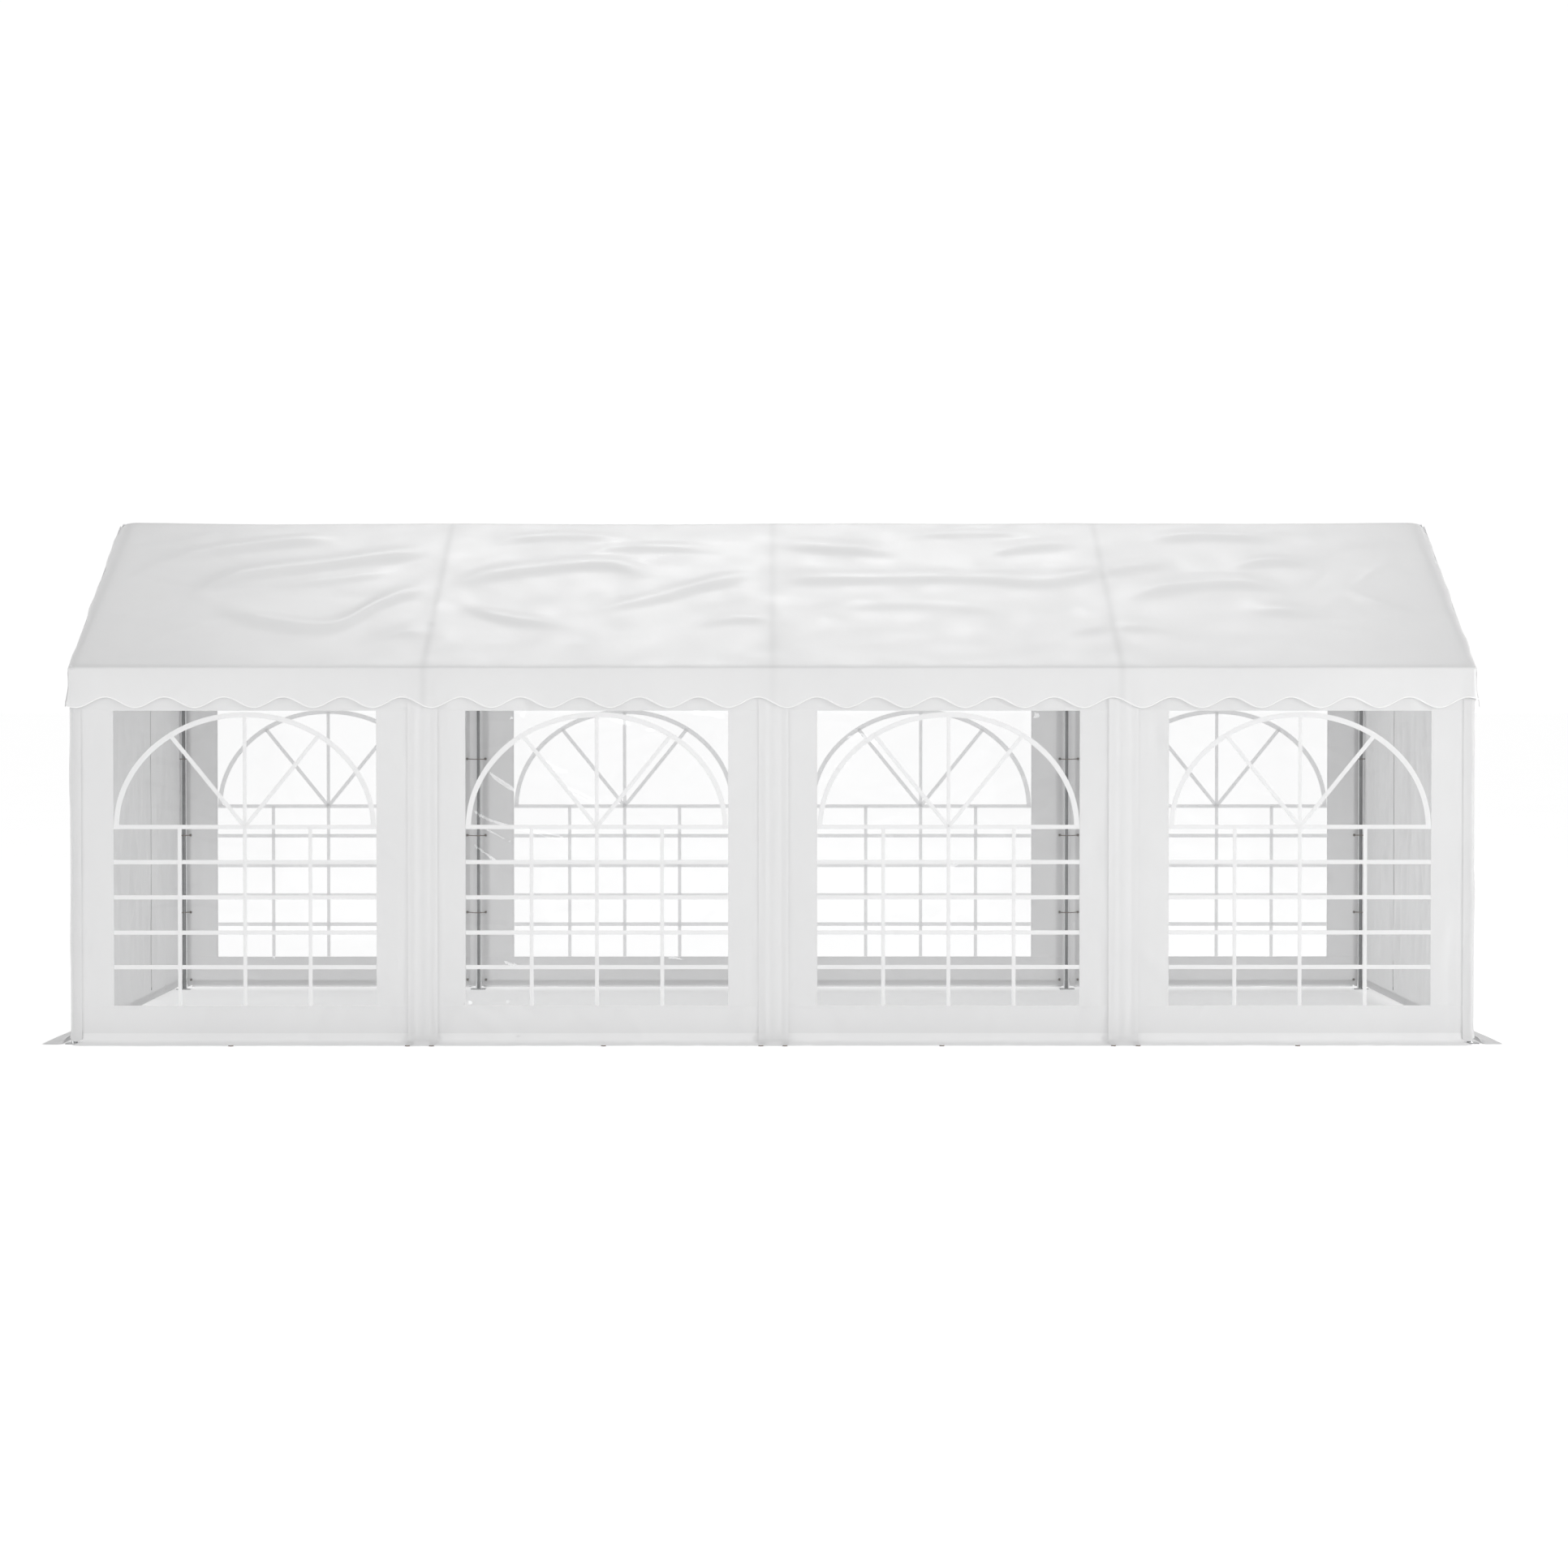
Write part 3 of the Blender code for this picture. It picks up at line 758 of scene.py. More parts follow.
def wall_relief(seed):
    """The soft wrinkles of a long side as a function of along and z, shared by its panels,
    films and bars, so that they stay on each other."""
    margin = folds(seed, 90, (-4.0, 0.1), (4.0, 2.1), (0.07, 0.30), (0.024, 0.055), (0.0030, 0.0080),
                   (1.0, -1.0, 0.75, -0.75, pi / 2), 0.3)
    foot = folds(seed + 1, 40, (-4.0, 0.08), (4.0, 0.24), (0.06, 0.22), (0.018, 0.04), (0.0016, 0.0052),
                 (0.75, -0.75, 1.1), 0.3)
    broad = folds(seed + 2, 26, (-4.0, 0.2), (4.0, 2.0), (0.2, 0.5), (0.08, 0.16), (0.0008, 0.0022),
                  (pi / 2, 1.2, -1.2), 0.3)
    groove = folds(seed + 3, 30, (-0.12, 0.1), (-0.1, 2.0), (0.12, 0.3), (0.012, 0.02), (0.0008, 0.0018),
                   (pi / 2,), 0.06)

    def relief(along, z):
        from_post = beside_nearest(POSTS, along)
        held = smooth((np.abs(from_post) - 0.06) / 0.08) * smooth((WALL_TOP - z) / 0.1)
        pull = 0.0016 * (bell(from_post + 0.118, 0.02) + 0.3 * bell(from_post - 0.112, 0.022))
        pull = pull * (0.8 + 260 * groove(-0.11 + 0 * z, z)) * smooth((z - 0.05) / 0.08)
        from_window = np.abs(beside_nearest(WINDOW_PLACES, along))
        inside = smooth((WINDOW_HALF + 0.01 - from_window) / 0.05)
        inside = inside * between(z, WINDOW_SILL, WINDOW_HEAD, 0.05)
        creases = (margin(along, z) + foot(along, z)) * (1 - 0.85 * inside)
        return (creases + broad(along, z)) * held - pull

    return relief


def strip_middle(face, post):
    """Where the joint between two panels is at a middle post, left to right."""
    return POSTS[post] + STRIP_SHIFTS[face][post - 1]


def panel_patches(face, bay, relief, skirt_relief):
    """The cloth of one window panel: the wall with its opening and the raised welds above and below it,
    and the skirt."""
    left = strip_middle(face, bay) + EDGE_HALF if bay else -END_OUT + 0.0018
    right = strip_middle(face, bay + 1) - EDGE_HALF if bay < BAYS - 1 else END_OUT - 0.0018
    opening = (WINDOW_PLACES[bay] - WINDOW_HALF, WINDOW_PLACES[bay] + WINDOW_HALF)
    seam = 0.003

    def wall(u, v):
        raised = bell(v - WINDOW_HEAD - seam, 0.002) + bell(v - WINDOW_SILL + seam, 0.002)
        return on_face(face, u, WALL_OUT + relief(u, v) + 0.0007 * raised, v)

    def is_cloth(u, v):
        return ~((u > opening[0]) & (u < opening[1]) & (v > WINDOW_SILL) & (v < WINDOW_HEAD))

    def skirt(u, v):
        down = smooth((v - 0.02) / 0.05)
        lift = relief(u, SKIRT_TOP_Z + 0 * u) * (1 - down) + down * np.abs(skirt_relief(u, v))
        out, z = SKIRT.lifted(v, lift)
        reach = 0.006 * down * np.sin(u * 3.1 + bay) * v / SKIRT.length
        slant = 0.035 * smooth((np.abs(u) - FRONT_SKIRT_END + 0.06) / 0.06)
        slant = np.sign(u) * slant * smooth(SKIRT.at(v)[0] / 0.09)
        return on_face(face, u + slant, WALL_OUT + out + reach, z)

    us = lines(0.019, left, *opening, right)
    offsets = np.array((0.001, seam, 0.005))
    low, high = WINDOW_SILL - offsets[::-1], WINDOW_HEAD + offsets
    vs = lines(0.019, WALL_HEM_Z, *low, WINDOW_SILL, WINDOW_HEAD, *high, WALL_TOP)
    skirt_us = lines(0.02, max(left, -FRONT_SKIRT_END), min(right, FRONT_SKIRT_END))
    return grid(us, vs, wall, is_cloth), grid(skirt_us, lines(0.009, 0, SKIRT.length), skirt)


def flap_patch(face, post, free_side, seed):
    """The strip over a post, from under the valance down over the skirt. Its free edge
    stands off a little and its free lower corner is round."""
    path = Path(
        (LAYER, WALL_TOP), (LAYER, 0.6), (LAYER, 0.13), (LAYER + 0.0015, 0.085),
        (LAYER + 0.007, 0.048), (LAYER + 0.022, 0.024), (LAYER + 0.055, 0.0125),
        (0.115, 0.0065), (SKIRT_REACH + 0.001, 0.0032),
    )
    waves = folds(seed + 70, 30, (-0.09, 0.05), (0.09, 2.1), (0.15, 0.5), (0.014, 0.03), (0.0002, 0.0008),
                  (pi / 2,), 0.12)
    fine_from = WALL_TOP - 0.14

    def place(u, v):
        share = u / FLAP_HALF * free_side
        rounding = 0.045 * np.clip((share - 0.72) / 0.28, 0, 1) ** 2
        length = np.minimum(v, path.length - rounding)
        stand_off = 0.0028 * smooth((share - 0.2) / 0.8) * (1 + 0.4 * np.sin(v * 6 + post))
        wavy = waves(u, v) - 0.0006 * bell(u + 0.02, 0.02)
        lift = stand_off + wavy * smooth((1 - np.abs(share)) / 0.25)
        lift = lift * (1 - 0.7 * smooth((length - path.length + 0.12) / 0.1))
        out, z = path.lifted(length, np.maximum(lift, -0.0012))
        return on_face(face, post + u, WALL_OUT + out, z)

    vs = runs((0.03, 0, fine_from), (0.008, fine_from, path.length))
    return grid(lines(0.0065, -FLAP_HALF, FLAP_HALF), vs, place)


def on_front_wall(x, y):
    """Where pixels of the photograph lie on the front wall: x and z."""
    scale = (CAMERA_BACK - WALL_OUT) / FOCAL_PIXELS
    return (x - VANISHING_PIXEL[0]) * scale, CAMERA_Z - (y - VANISHING_PIXEL[1]) * scale


# Creases of the middle front windows' films.
SEEN_CREASES = drawn_folds((
    (((570, 894), (600, 886), (640, 887)), 0.030, 0.0062),
    (((584, 926), (606, 921), (634, 913)), 0.014, 0.0034),
    (((594, 949), (615, 966), (642, 983)), 0.022, 0.0052),
    (((574, 996), (600, 1012), (640, 1024), (700, 1036)), 0.014, 0.0036),
    (((586, 1018), (612, 1031), (640, 1047)), 0.011, 0.0030),
    (((574, 1036), (592, 1051), (618, 1068)), 0.020, 0.0050),
    (((660, 934), (682, 949), (706, 957)), 0.018, 0.0044),
    (((686, 972), (716, 984), (744, 1000)), 0.018, 0.0046),
    (((640, 1040), (668, 1034), (700, 1040)), 0.016, 0.0040),
    (((690, 890), (730, 884), (780, 896)), 0.020, 0.0040),
    (((610, 1186), (626, 1190), (650, 1199)), 0.016, 0.0044),
    (((800, 1190), (826, 1183), (850, 1187)), 0.014, 0.0036),
    (((1010, 962), (1030, 949), (1052, 941)), 0.016, 0.0046),
    (((1036, 920), (1060, 909), (1092, 931)), 0.018, 0.0050),
    (((1156, 1077), (1170, 1071), (1188, 1066)), 0.014, 0.0040),
), on_front_wall, 0.06, lambda across: bell(across, 1.0))


def film_relief(relief, window, seed, strength, creased):
    """The film's own wrinkles on top of its wall's. They end at the weld round it."""
    long_folds = folds(seed, 26, (-0.7, 0.3), (0.7, 1.85), (0.12, 0.45), (0.016, 0.04),
                       (0.0006, 0.0022), (0.35, -0.45, 0.15, 1.2), 0.25)
    fine = folds(seed + 1, 40, (-0.72, 0.25), (0.72, 1.88), (0.05, 0.16), (0.008, 0.018),
                 (0.0002, 0.0007), (0.5, -0.6, 1.3, 0.1), 0.4)

    def total(along, z):
        x = along - window
        own = strength * (long_folds(x, z) + fine(x, z))
        if creased:
            own = own + SEEN_CREASES(along, z)
        inner = smooth((WINDOW_HALF - np.abs(x)) / 0.05)
        return relief(along, z) + own * inner * between(z, WINDOW_SILL, WINDOW_HEAD, 0.1)

    return total


def film_patch(face, window, total, step):
    half = WINDOW_HALF + FILM_LAP
    us = lines(step, window - half, window - WINDOW_HALF, window + WINDOW_HALF, window + half)
    vs = lines(step, WINDOW_SILL - FILM_LAP, WINDOW_SILL, WINDOW_HEAD, WINDOW_HEAD + FILM_LAP)
    return grid(us, vs, lambda u, v: on_face(face, u, WALL_OUT - 0.0005 + total(u, v), v))


def strip(face, total, points, width, depth):
    """A patch for one welded bar: a thin strip along points of the window's plane, a little
    raised along its middle."""
    across = directions(points)[:, ::-1] * (-width / 2, width / 2)

    def place(row, v):
        at = points[row] + v[..., None] * across[row]
        out = WALL_OUT + 0.0006 + depth + total(at[..., 0], at[..., 1]) + BAR_THICK * (1 - v**4)
        return on_face(face, at[..., 0], out, at[..., 1])

    return grid(np.arange(len(points)), np.array((-1.0, -0.7, 0.7, 1.0)), place)


def bar_patches(face, window, total):
    """All bars of one window: an arch on the top level bar with two rays, five level bars
    and three upright ones. Where bars cross, the later one lies on top."""
    spring, foot = LEVEL_BARS[0], WINDOW_SILL + 0.001
    rise = ARCH_TOP - spring
    half = WINDOW_HALF - 0.001
    reach = 1 / hypot(sin(RAY_TURN) / ARCH_HALF, cos(RAY_TURN) / rise)
    ray_out, ray_top = reach * sin(RAY_TURN), spring + reach * cos(RAY_TURN)
    bars = [((-half, z), (half, z), BAR_WIDTH, 0.0004) for z in LEVEL_BARS]
    for at, top in ((-SIDE_BAR, spring), (0, ARCH_TOP), (SIDE_BAR, spring)):
        bars.append(((at, foot), (at, top), UPRIGHT_WIDTH, 0.0008))
    bars += [((0, spring), (side * ray_out, ray_top), BAR_WIDTH, 0.0012) for side in (-1, 1)]

    turns = np.linspace(0, pi, 150)
    arch = np.stack((window - ARCH_HALF * np.cos(turns), spring + rise * np.sin(turns)), -1)
    patches = [strip(face, total, arch, ARCH_WIDTH, 0.0)]
    for start, end, width, depth in bars:
        start, end = (window + start[0], start[1]), (window + end[0], end[1])
        count = max(2, ceil(hypot(end[0] - start[0], end[1] - start[1]) / 0.0165) + 1)
        patches.append(strip(face, total, np.linspace(start, end, count), width, depth))
    return patches


def bay_piece(face, kind, bay, patches, finish, node=None):
    """A piece of one bay. Bays are numbered from left to right as seen from the front."""
    number = bay + 1 if face == "front" else BAYS - bay
    replaced = [f"{node}_{face}_{number}"] if node else []
    return piece(f"{face}_{kind}_{number}", patches, finish, replaced)


def long_side(face, seed):
    relief = wall_relief(seed)
    skirt_relief = folds(seed + 9, 60, (-4.0, 0.03), (4.0, 0.22), (0.05, 0.2), (0.02, 0.05),
                         (0.0006, 0.0032), (0.0, pi / 2, 0.6), 0.4)
    strengths = (0.7, 0.9, 0.9, 0.6) if face == "front" else (0.7, 0.7, 0.7, 0.7)
    for bay, window in enumerate(WINDOW_PLACES):
        creased = face == "front" and bay in (1, 2)
        step = CREASED_FILM_STEP if creased else FILM_STEP
        total = film_relief(relief, window, seed + 20 + 3 * bay, strengths[bay], creased)
        panel, skirt = panel_patches(face, bay, relief, skirt_relief)
        wall = bay_piece(face, "panel", bay, [panel], WALL_CLOTH, "wall")
        sewn = [bay_piece(face, "skirt", bay, [skirt], SKIRT_CLOTH)]
        sheet = film_patch(face, window, total, step)
        film = bay_piece(face, "film", bay, [sheet], FILM, "window")
        bars = bay_piece(face, "window_bars", bay, bar_patches(face, window, total), BAR_STRIP)
        if FLAPS[bay]:
            post = strip_middle(face, bay + 1 if FLAPS[bay] > 0 else bay)
            flap = flap_patch(face, post, FLAPS[bay], bay)
            sewn.append(bay_piece(face, "post_strip", bay, [flap], STRIP_CLOTH))


# End walls and doors.


def end_relief(seed):
    """Upright drapes of an end wall: many thin ones under the bar that merge further down."""
    drapes = folds(seed, 120, (-1.95, 0.15), (1.95, 1.95), (0.25, 0.8), (0.022, 0.06), (0.005, 0.015),
                   (pi / 2,), 0.09)
    pulls = folds(seed + 1, 40, (-1.9, 0.2), (1.9, 1.6), (0.12, 0.35), (0.02, 0.045), (0.0015, 0.0045),
                  (1.15, -1.15), 0.2)

    def relief(along, z):
        top = smooth((2.02 - z) / 0.35)
        corner = smooth((1.93 - np.abs(along)) / 0.12)
        zip_line = 1 - 0.75 * bell(np.abs(along) - DOOR_HALF, 0.05)
        low = smooth((z - 0.07) / 0.2)
        height = (drapes(along, z) + pulls(along, z)) * top * corner * zip_line * (0.25 + 0.75 * low)
        return np.where(z > 1.9, np.minimum(height, 0.001), height)

    return relief


def turned_skirt(edge, under, *drape):
    """The section of a skirt whose hem is turned under between the places edge and under."""
    return Path((0.0012, SKIRT_TOP_Z + 0.012), *drape, (edge, 0.0028), (under, 0.0012),
                (0.12, 0.0011), (0.045, 0.0011))


LIFTED_SKIRT = turned_skirt(
    SKIRT_REACH, SKIRT_REACH - 0.006, (0.0030, 0.062), (0.012, 0.046), (0.035, 0.030),
    (0.06, 0.0215), (0.10, 0.0150), (0.135, 0.0090), (SKIRT_REACH - 0.004, 0.0042),
)
LYING_SKIRT = turned_skirt(
    SKIRT_REACH - 0.011, SKIRT_REACH - 0.019, (0.0014, 0.048), (0.0035, 0.032), (0.014, 0.016),
    (0.045, 0.0075), (SKIRT_REACH - 0.02, 0.0045),
)


def end_skirt(face, left, right, relief, seed):
    """The skirt of an end wall, its wide hem turned under. It lies on the ground, and its
    corners stand up and forward."""
    ripples = folds(seed, 30, (-2.0, 0.05), (2.0, 0.2), (0.06, 0.25), (0.02, 0.05), (0.0008, 0.004),
                    (pi / 2, 0.0, 0.5), 0.4)

    def place(u, v):
        beyond = np.abs(u) - END_SKIRT_END
        corner = smooth((beyond + 1.2) / 1.0)
        lifted, lying = (path.at(v * path.length) for path in (LIFTED_SKIRT, LYING_SKIRT))
        out, z = (lying[k] + (lifted[k] - lying[k]) * corner for k in (0, 1))
        lip = smooth((beyond + 0.03) / 0.03) * smooth((out - 0.028) / 0.02)
        z = z - (z - 0.0015) * 0.88 * lip * smooth((0.61 - v) / 0.04)
        down = smooth((v - 0.07) / 0.15)
        above = smooth((0.55 - v) / 0.08)
        lift = np.abs(ripples(u, v * 0.3)) * down * above * (1 - 0.5 * corner)
        hang = relief(u, SKIRT_TOP_Z + 0 * u) * (1 - down)
        reach = -0.006 * down * (1 + np.sin(u * 4.3 + seed)) / 2 * (1 - corner)
        forward = 0.085 * smooth((beyond + 0.10) / 0.10) * down * smooth((out - 0.014) / 0.05)
        along = u + np.sign(u) * forward
        return on_face(face, along, END_OUT + out + hang + reach * out / SKIRT_REACH, z + lift)

    return grid(lines(0.02, left, right), lines(0.02, 0, 1), place)


def corner_strip(face, side, seed):
    """Where an end wall turns the corner and laps over the long side."""
    inner = END_SKIRT_END - 0.03
    level = WALL_OUT + LAYER + 0.0006 - CORNER_ROUND - inner
    total = level + CORNER_ARC + CORNER_LAP - CORNER_ROUND
    waves = folds(seed, 16, (0, 0.1), (total, 2.0), (0.12, 0.4), (0.012, 0.03), (0.0006, 0.002),
                  (pi / 2,), 0.1)

    def place(u, v):
        past = u - level - CORNER_ARC
        along, back, n_along, n_out = round_corner(past)
        foot = CORNER_LAP_Z + 0.035 * np.clip((past - 0.02) / 0.035, 0, 1) ** 2
        foot = foot + 0.02 * smooth(-past / 0.03)
        z = WALL_TOP + (foot - WALL_TOP) * v
        bulge = 0.004 * np.sin(z * 7.0 + seed) * smooth((1.95 - z) / 0.3)
        kick = 0.010 * smooth((0.12 - z) / 0.12)
        lift = (waves(u, z) + bulge) * n_out**2 + np.abs(waves(u, z)) * n_along**2
        lift = lift * smooth(z / 0.1) * smooth((2.0 - z) / 0.2) + kick * (0.4 + 0.6 * n_out)
        along = inner + level + along + n_along * lift
        return on_face(face, side * along, END_OUT - back + n_out * lift, z)

    return grid(lines(0.0055, 0, total), runs((0.012, 0, 0.94), (0.004, 0.94, 1)), place)


def slab(face, at, base, half, near, far, heights):
    """A patch for a small upright block on a side's cloth. half is its half width, and near
    and far are how far its two faces stand out from base."""
    along = at + np.multiply.outer(half, (-1, 1, 1, -1))
    out = np.stack(np.broadcast_arrays(base + near, base + near, base + far, base + far), -1)
    return swept(points_on(face, along, out, np.array(heights)[:, None]))


def zip_patch(face, at, relief):
    """The closed teeth of a zip, proud of the cloth on both faces."""
    pitch = 0.004
    heights = np.arange(0.085, DOOR_TOP - 0.004, pitch / 2)
    wide = np.arange(len(heights)) % 2 > 0
    half, deep = np.where(wide, 0.0024, 0.0016), np.where(wide, 0.0019, 0.0013)
    return slab(face, at, END_OUT + relief(at, heights), half, -deep, deep, heights)


def slider_patches(face, at, relief):
    """The zip's slider with its pull, at the foot of the zip."""
    z = 0.098
    base = END_OUT + relief(at, z)
    return [
        slab(face, at, base, 0.0065, -0.0042, 0.0042, (z - 0.009, z + 0.009)),
        slab(face, at, base, 0.0035, 0.0046, 0.0062, (z - 0.026, z + 0.004)),
        slab(face, at, base, 0.0050, 0.0044, 0.0064, (z - 0.034, z - 0.022)),
    ]


def end_cloth(face, relief, us, vs, lift=lambda v: 0, keep=None):
    """A patch of an end's cloth over the places us and the heights vs."""
    return grid(us, vs, lambda u, v: on_face(face, u, END_OUT + relief(u, v) + lift(v), v), keep)


def zip_tape(face, relief, start, end):
    us, vs = lines(0.008, *sorted((start, end))), lines(0.03, ZIP_FOOT_Z, DOOR_TOP)
    return end_cloth(face, relief, us, vs, lambda v: 0.0009)


def end_wall_patches(face, relief, seed):
    """An end wall with its doorway, half of each zip's tape, the skirt and both corners."""

    def beside_door(u, v):
        return ~((np.abs(u) < DOOR_HALF) & (v < DOOR_TOP))

    edge = END_SKIRT_END
    us = lines(0.0165, -edge, -DOOR_HALF, DOOR_HALF, edge)
    vs = lines(0.02, WALL_HEM_Z, DOOR_TOP, WALL_TOP)
    patches = [end_cloth(face, relief, us, vs, keep=beside_door)]
    for side in (-1, 1):
        patches.append(zip_tape(face, relief, side * DOOR_HALF, side * (DOOR_HALF + ZIP_TAPE)))
        patches.append(end_skirt(face, *sorted((side * DOOR_HALF, side * edge)), relief, seed + 5))
        patches.append(corner_strip(face, side, seed + 30 + side))
    return patches


def door_patches(face, relief, seed):
    """A zipped door with its skirt. Its top is under the wall."""

    def under_wall(v):
        return -0.0008 * smooth((v - DOOR_TOP + 0.03) / 0.02)

    half = DOOR_HALF - 0.0006
    us, vs = lines(0.0165, -half, half), lines(0.02, WALL_HEM_Z, DOOR_TOP + 0.02)
    tapes = [zip_tape(face, relief, side * half, side * (half - ZIP_TAPE)) for side in (-1, 1)]
    skirt = end_skirt(face, -half, half, relief, seed + 5)
    return [end_cloth(face, relief, us, vs, under_wall), skirt, *tapes]


def end_side(face, seed):
    relief = end_relief(seed)
    wall = piece(f"{face}_end_cloth", end_wall_patches(face, relief, seed), WALL_CLOTH,
                 [f"end_wall_{face}"])
    door = piece(f"{face}_door_cloth", door_patches(face, relief, seed), WALL_CLOTH,
                 [f"door_{face}"])
    zips = (-DOOR_HALF, DOOR_HALF)
    teeth = piece(f"{face}_zips", [zip_patch(face, at, relief) for at in zips], ZIP_TEETH,
                  smoothed=False)
    sliders = [patch for at in zips for patch in slider_patches(face, at, relief)]
    pulls = piece(f"{face}_zip_sliders", sliders, EYELET_METAL, smoothed=False)


# Eyelets and elastic ties.


def eyelet(face, along, out, z, across=(1.0, 0.0)):
    """A patch for a round ring of wire. across is its level direction, as along and out."""
    turns = np.arange(20)[:, None] * 2 * pi / 20
    level = points_on(face, *across, 0.0)
    spokes = np.cos(turns) * level + np.sin(turns) * UP
    normals = np.broadcast_to(np.cross(level, UP), spokes.shape)
    centre = points_on(face, along, out, z)
    return tube(centre + EYELET_R * spokes, EYELET_WIRE * spokes, EYELET_WIRE * normals, 6, True)


def knot(face, along, out, z):
    """A patch for the knot of a tie on the inner side of its eyelet."""
    return cord(points_on(face, along, out - np.linspace(0.001, 0.007, 3), z), KNOT_R, 10)


def tie(face, route, z, count, droop=0.0):
    """A patch for the cord along a route of places along and out, at the height z."""
    curve = Path(*route)
    steps = np.linspace(0, curve.length, count)
    heights = z - droop * np.sin(pi * steps / curve.length)
    return cord(points_on(face, *curve.at(steps), heights), TIE_R)


def tie_patches(face, post, shift):
    """The cords from panel to panel round one middle post, and the eyelets that they pass."""
    inside = HALF_DEPTH - TUBE_R - TIE_LIFT
    panel = WALL_OUT - 0.004
    holes = [post + shift + side * EYELET_OFFSET for side in (-1, 1)]
    left, right = ([(hole, panel + 0.002), (hole - side * 0.002, panel - 0.004),
                    (post + side * 0.040, inside + 0.012), (post + side * 0.022, inside + 0.003)]
                   for side, hole in zip((-1, 1), holes))
    route = [*left, (post, inside), *right[::-1]]
    cords = [tie(face, route, z, 26, droop=0.002) for z in TIE_HEIGHTS]
    places = [(at, panel, z) for z in (*TIE_HEIGHTS, FOOT_EYELET_Z) for at in holes]
    cords += [knot(face, *place) for place in places]
    return cords, [eyelet(face, *place) for place in places]


def corner_tie_patches(face, side):
    """The same at a corner post, from the long side's panel to the end wall."""
    post = side * HALF_LENGTH
    panel, end = WALL_OUT - 0.004, side * (END_OUT - 0.004)
    reach = TUBE_R + TIE_LIFT
    start = post - side * CORNER_EYELET_OFFSET
    turned = [(post - side * reach * k, HALF_DEPTH - reach * m) for k, m in
              ((0.95, 0.3), (0.71, 0.71), (0.3, 0.95))]
    route = [(start, panel + 0.001), (post - side * 0.036, panel - 0.012), *turned,
             (end - side * 0.010, HALF_DEPTH - 0.036), (end + side * 0.001, HALF_DEPTH - 0.05)]
    cords, rings = [], []
    for z in (*TIE_HEIGHTS, FOOT_EYELET_Z):
        rings.append(eyelet(face, start, panel, z))
        rings.append(eyelet(face, end, HALF_DEPTH - 0.05, z, across=(0.0, 1.0)))
        cords.append(knot(face, start, panel, z))
        if z != FOOT_EYELET_Z:
            cords.append(tie(face, route, z, 22))
    return cords, rings


def peg_loops_and_painted_shade(face):
    """Short elastic loops for pegs, sewn under the hem of a long side's skirt. The pairs beside the
    middle posts' strips are dark marks of painted shade, where the strips' lifted skirt edges shade the
    ground.
    """
    turns = np.linspace(0, pi, 11)
    out = WALL_OUT + SKIRT_REACH - 0.004 + 0.012 * np.sin(turns)
    routes = [points_on(face, at - 0.012 * np.cos(turns), out, 0.0034) for at in LOOP_PLACES]
    loops = [cord(route, LOOP_R) for route in routes]
    piece(f"peg_loops_and_painted_shade_{face}", loops, CORD)


def ties():
    """All ties and ground loops, some loops standing in as painted shade. Posts are numbered from left to
    right as seen from the front.
    """
    for face in ("front", "back"):
        peg_loops_and_painted_shade(face)
        made = {n: tie_patches(face, POSTS[n], STRIP_SHIFTS[face][n - 1]) for n in range(1, BAYS)}
        made[0], made[BAYS] = (corner_tie_patches(face, side) for side in (-1, 1))
        for place, (cords, rings) in made.items():
            number = place + 1 if face == "front" else BAYS + 1 - place
            piece(f"ties_{face}_{number}", cords, CORD)
            piece(f"eyelets_{face}_{number}", rings, EYELET_METAL)


def steel_frame():
    """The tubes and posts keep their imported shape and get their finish."""
    for name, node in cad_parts.items():
        if name.startswith(("post", "rafter", "ridge", "eave", "gable_bar")):
            node.data.materials.clear()
            node.data.materials.append(STEEL)


# Stage.


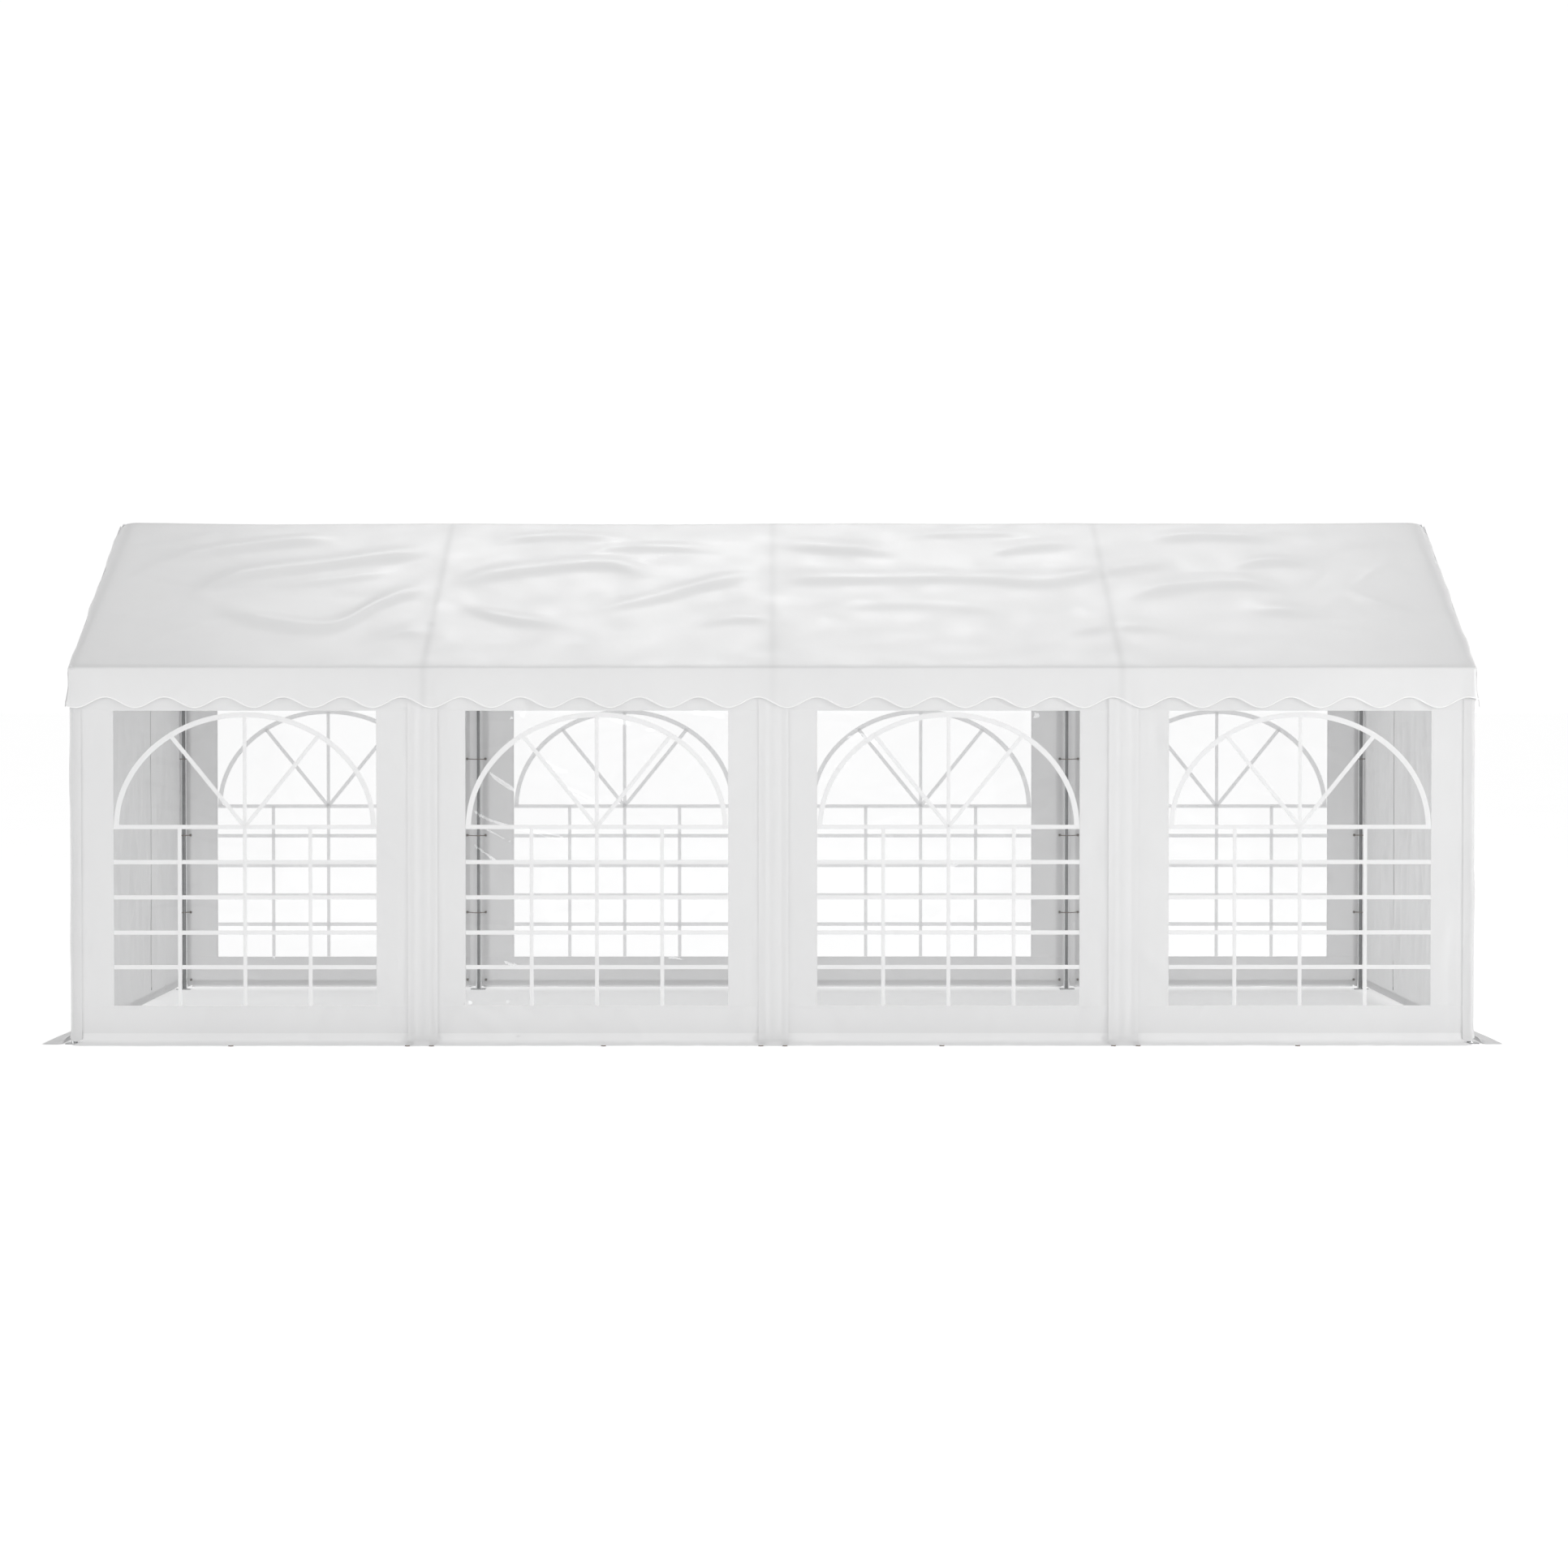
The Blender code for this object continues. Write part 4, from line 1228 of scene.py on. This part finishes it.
def floor():
    """A pale floor that glows a little, so that its white stays white. Its glow is lower under the tent,
    and lower still towards the right end: painted shade of the tent.
    """
    made = Nodes(bpy.data.materials.new("studio_floor"))
    x, y, _ = made.axes()
    # Painted shade: less glow inside the tent's footprint, more so towards its right end.
    sides = [made.ramp(made.math("ABSOLUTE", place), 1, 0, half - 0.1, half)
             for place, half in ((x, HALF_LENGTH), (y, HALF_DEPTH))]
    shade = made.math("MULTIPLY", made.math("MULTIPLY", *sides), made.ramp(x, 0.05, 0.14, -4, 4))
    pale = made.mix(made.ramp(made.noise(0.4), 0, 1), (0.955, 0.955, 0.955), (0.97, 0.97, 0.97))
    made.feed(made.shader, {
        "Base Color": pale,
        "Roughness": 0.9,
        "Specular IOR Level": 0.0,
        "Emission Color": (1, 1, 1, 1),
        "Emission Strength": made.math("SUBTRACT", 0.31, shade),
    })
    reach = 400.0
    mesh = bpy.data.meshes.new("studio_floor")
    corners = [(-reach, -reach, 0), (reach, -reach, 0), (reach, reach, 0), (-reach, reach, 0)]
    mesh.from_pydata(corners, [], [(0, 1, 2, 3)])
    mesh.materials.append(made.owner)
    plane = new_object("studio_floor", mesh)
    plane.location.z = -0.0005


def area_light(name, at, aim, size, power, spread=pi):
    data = bpy.data.lights.new(name, "AREA")
    data.shape = "RECTANGLE"
    data.size, data.size_y = size
    data.energy = power
    data.spread = spread
    made = new_object(name, data)
    made.location = at
    made.rotation_euler = (Vector(aim) - Vector(at)).to_track_quat("-Z", "Y").to_euler()


def studio():
    """White all round, dimmer overhead and behind the camera, with four soft boxes."""
    scene = bpy.context.scene
    scene.view_settings.view_transform = "Standard"
    world = Nodes(bpy.data.worlds.new("studio"), "Background", "Generated")
    _, y, z = world.axes()
    falls = world.ramp(y, 0.8, 1.02, -1.0, 0.9), world.ramp(z, 1.0, 0.62, 0.2, 1.0)
    world.feed(world.shader, {"Color": world.math("MULTIPLY", *falls), "Strength": 1.0})
    scene.world = world.owner
    front = (0, -2, 1.2)
    area_light("softbox_behind", (0.2, 4.2, 8.2), (0.2, -1.2, 1.9), (8.2, 1.4), 9.6, radians(26))
    area_light("softbox_front", (2.0, -27.0, 7.0), front, (8.0, 4.0), 710)
    area_light("softbox_left", (-20.0, -8.5, 4.0), front, (2.0, 4.0), 380)
    area_light("softbox_right", (20.0, -8.5, 4.0), front, (2.0, 4.0), 1200)


def camera():
    """Where the photograph was taken from: far off, a little above the middle of the walls."""
    data = bpy.data.cameras.new("camera")
    data.sensor_width = 36.0
    data.lens = FOCAL_PIXELS * data.sensor_width / IMAGE_PIXELS
    data.clip_end = 500.0
    made = new_object("camera", data)
    made.location = (0.0, -CAMERA_BACK, CAMERA_Z)
    made.rotation_euler = (pi / 2 - CAMERA_TILT, 0.0, -CAMERA_TURN)
    bpy.context.scene.camera = made


camera()
studio()
floor()
steel_frame()
cover = canopy()
side_valance("front", 21)
side_valance("back", 22)
gable("right", 23)
gable("left", 25)
long_side("front", 100)
long_side("back", 200)
end_side("right", 300)
end_side("left", 400)
ties()
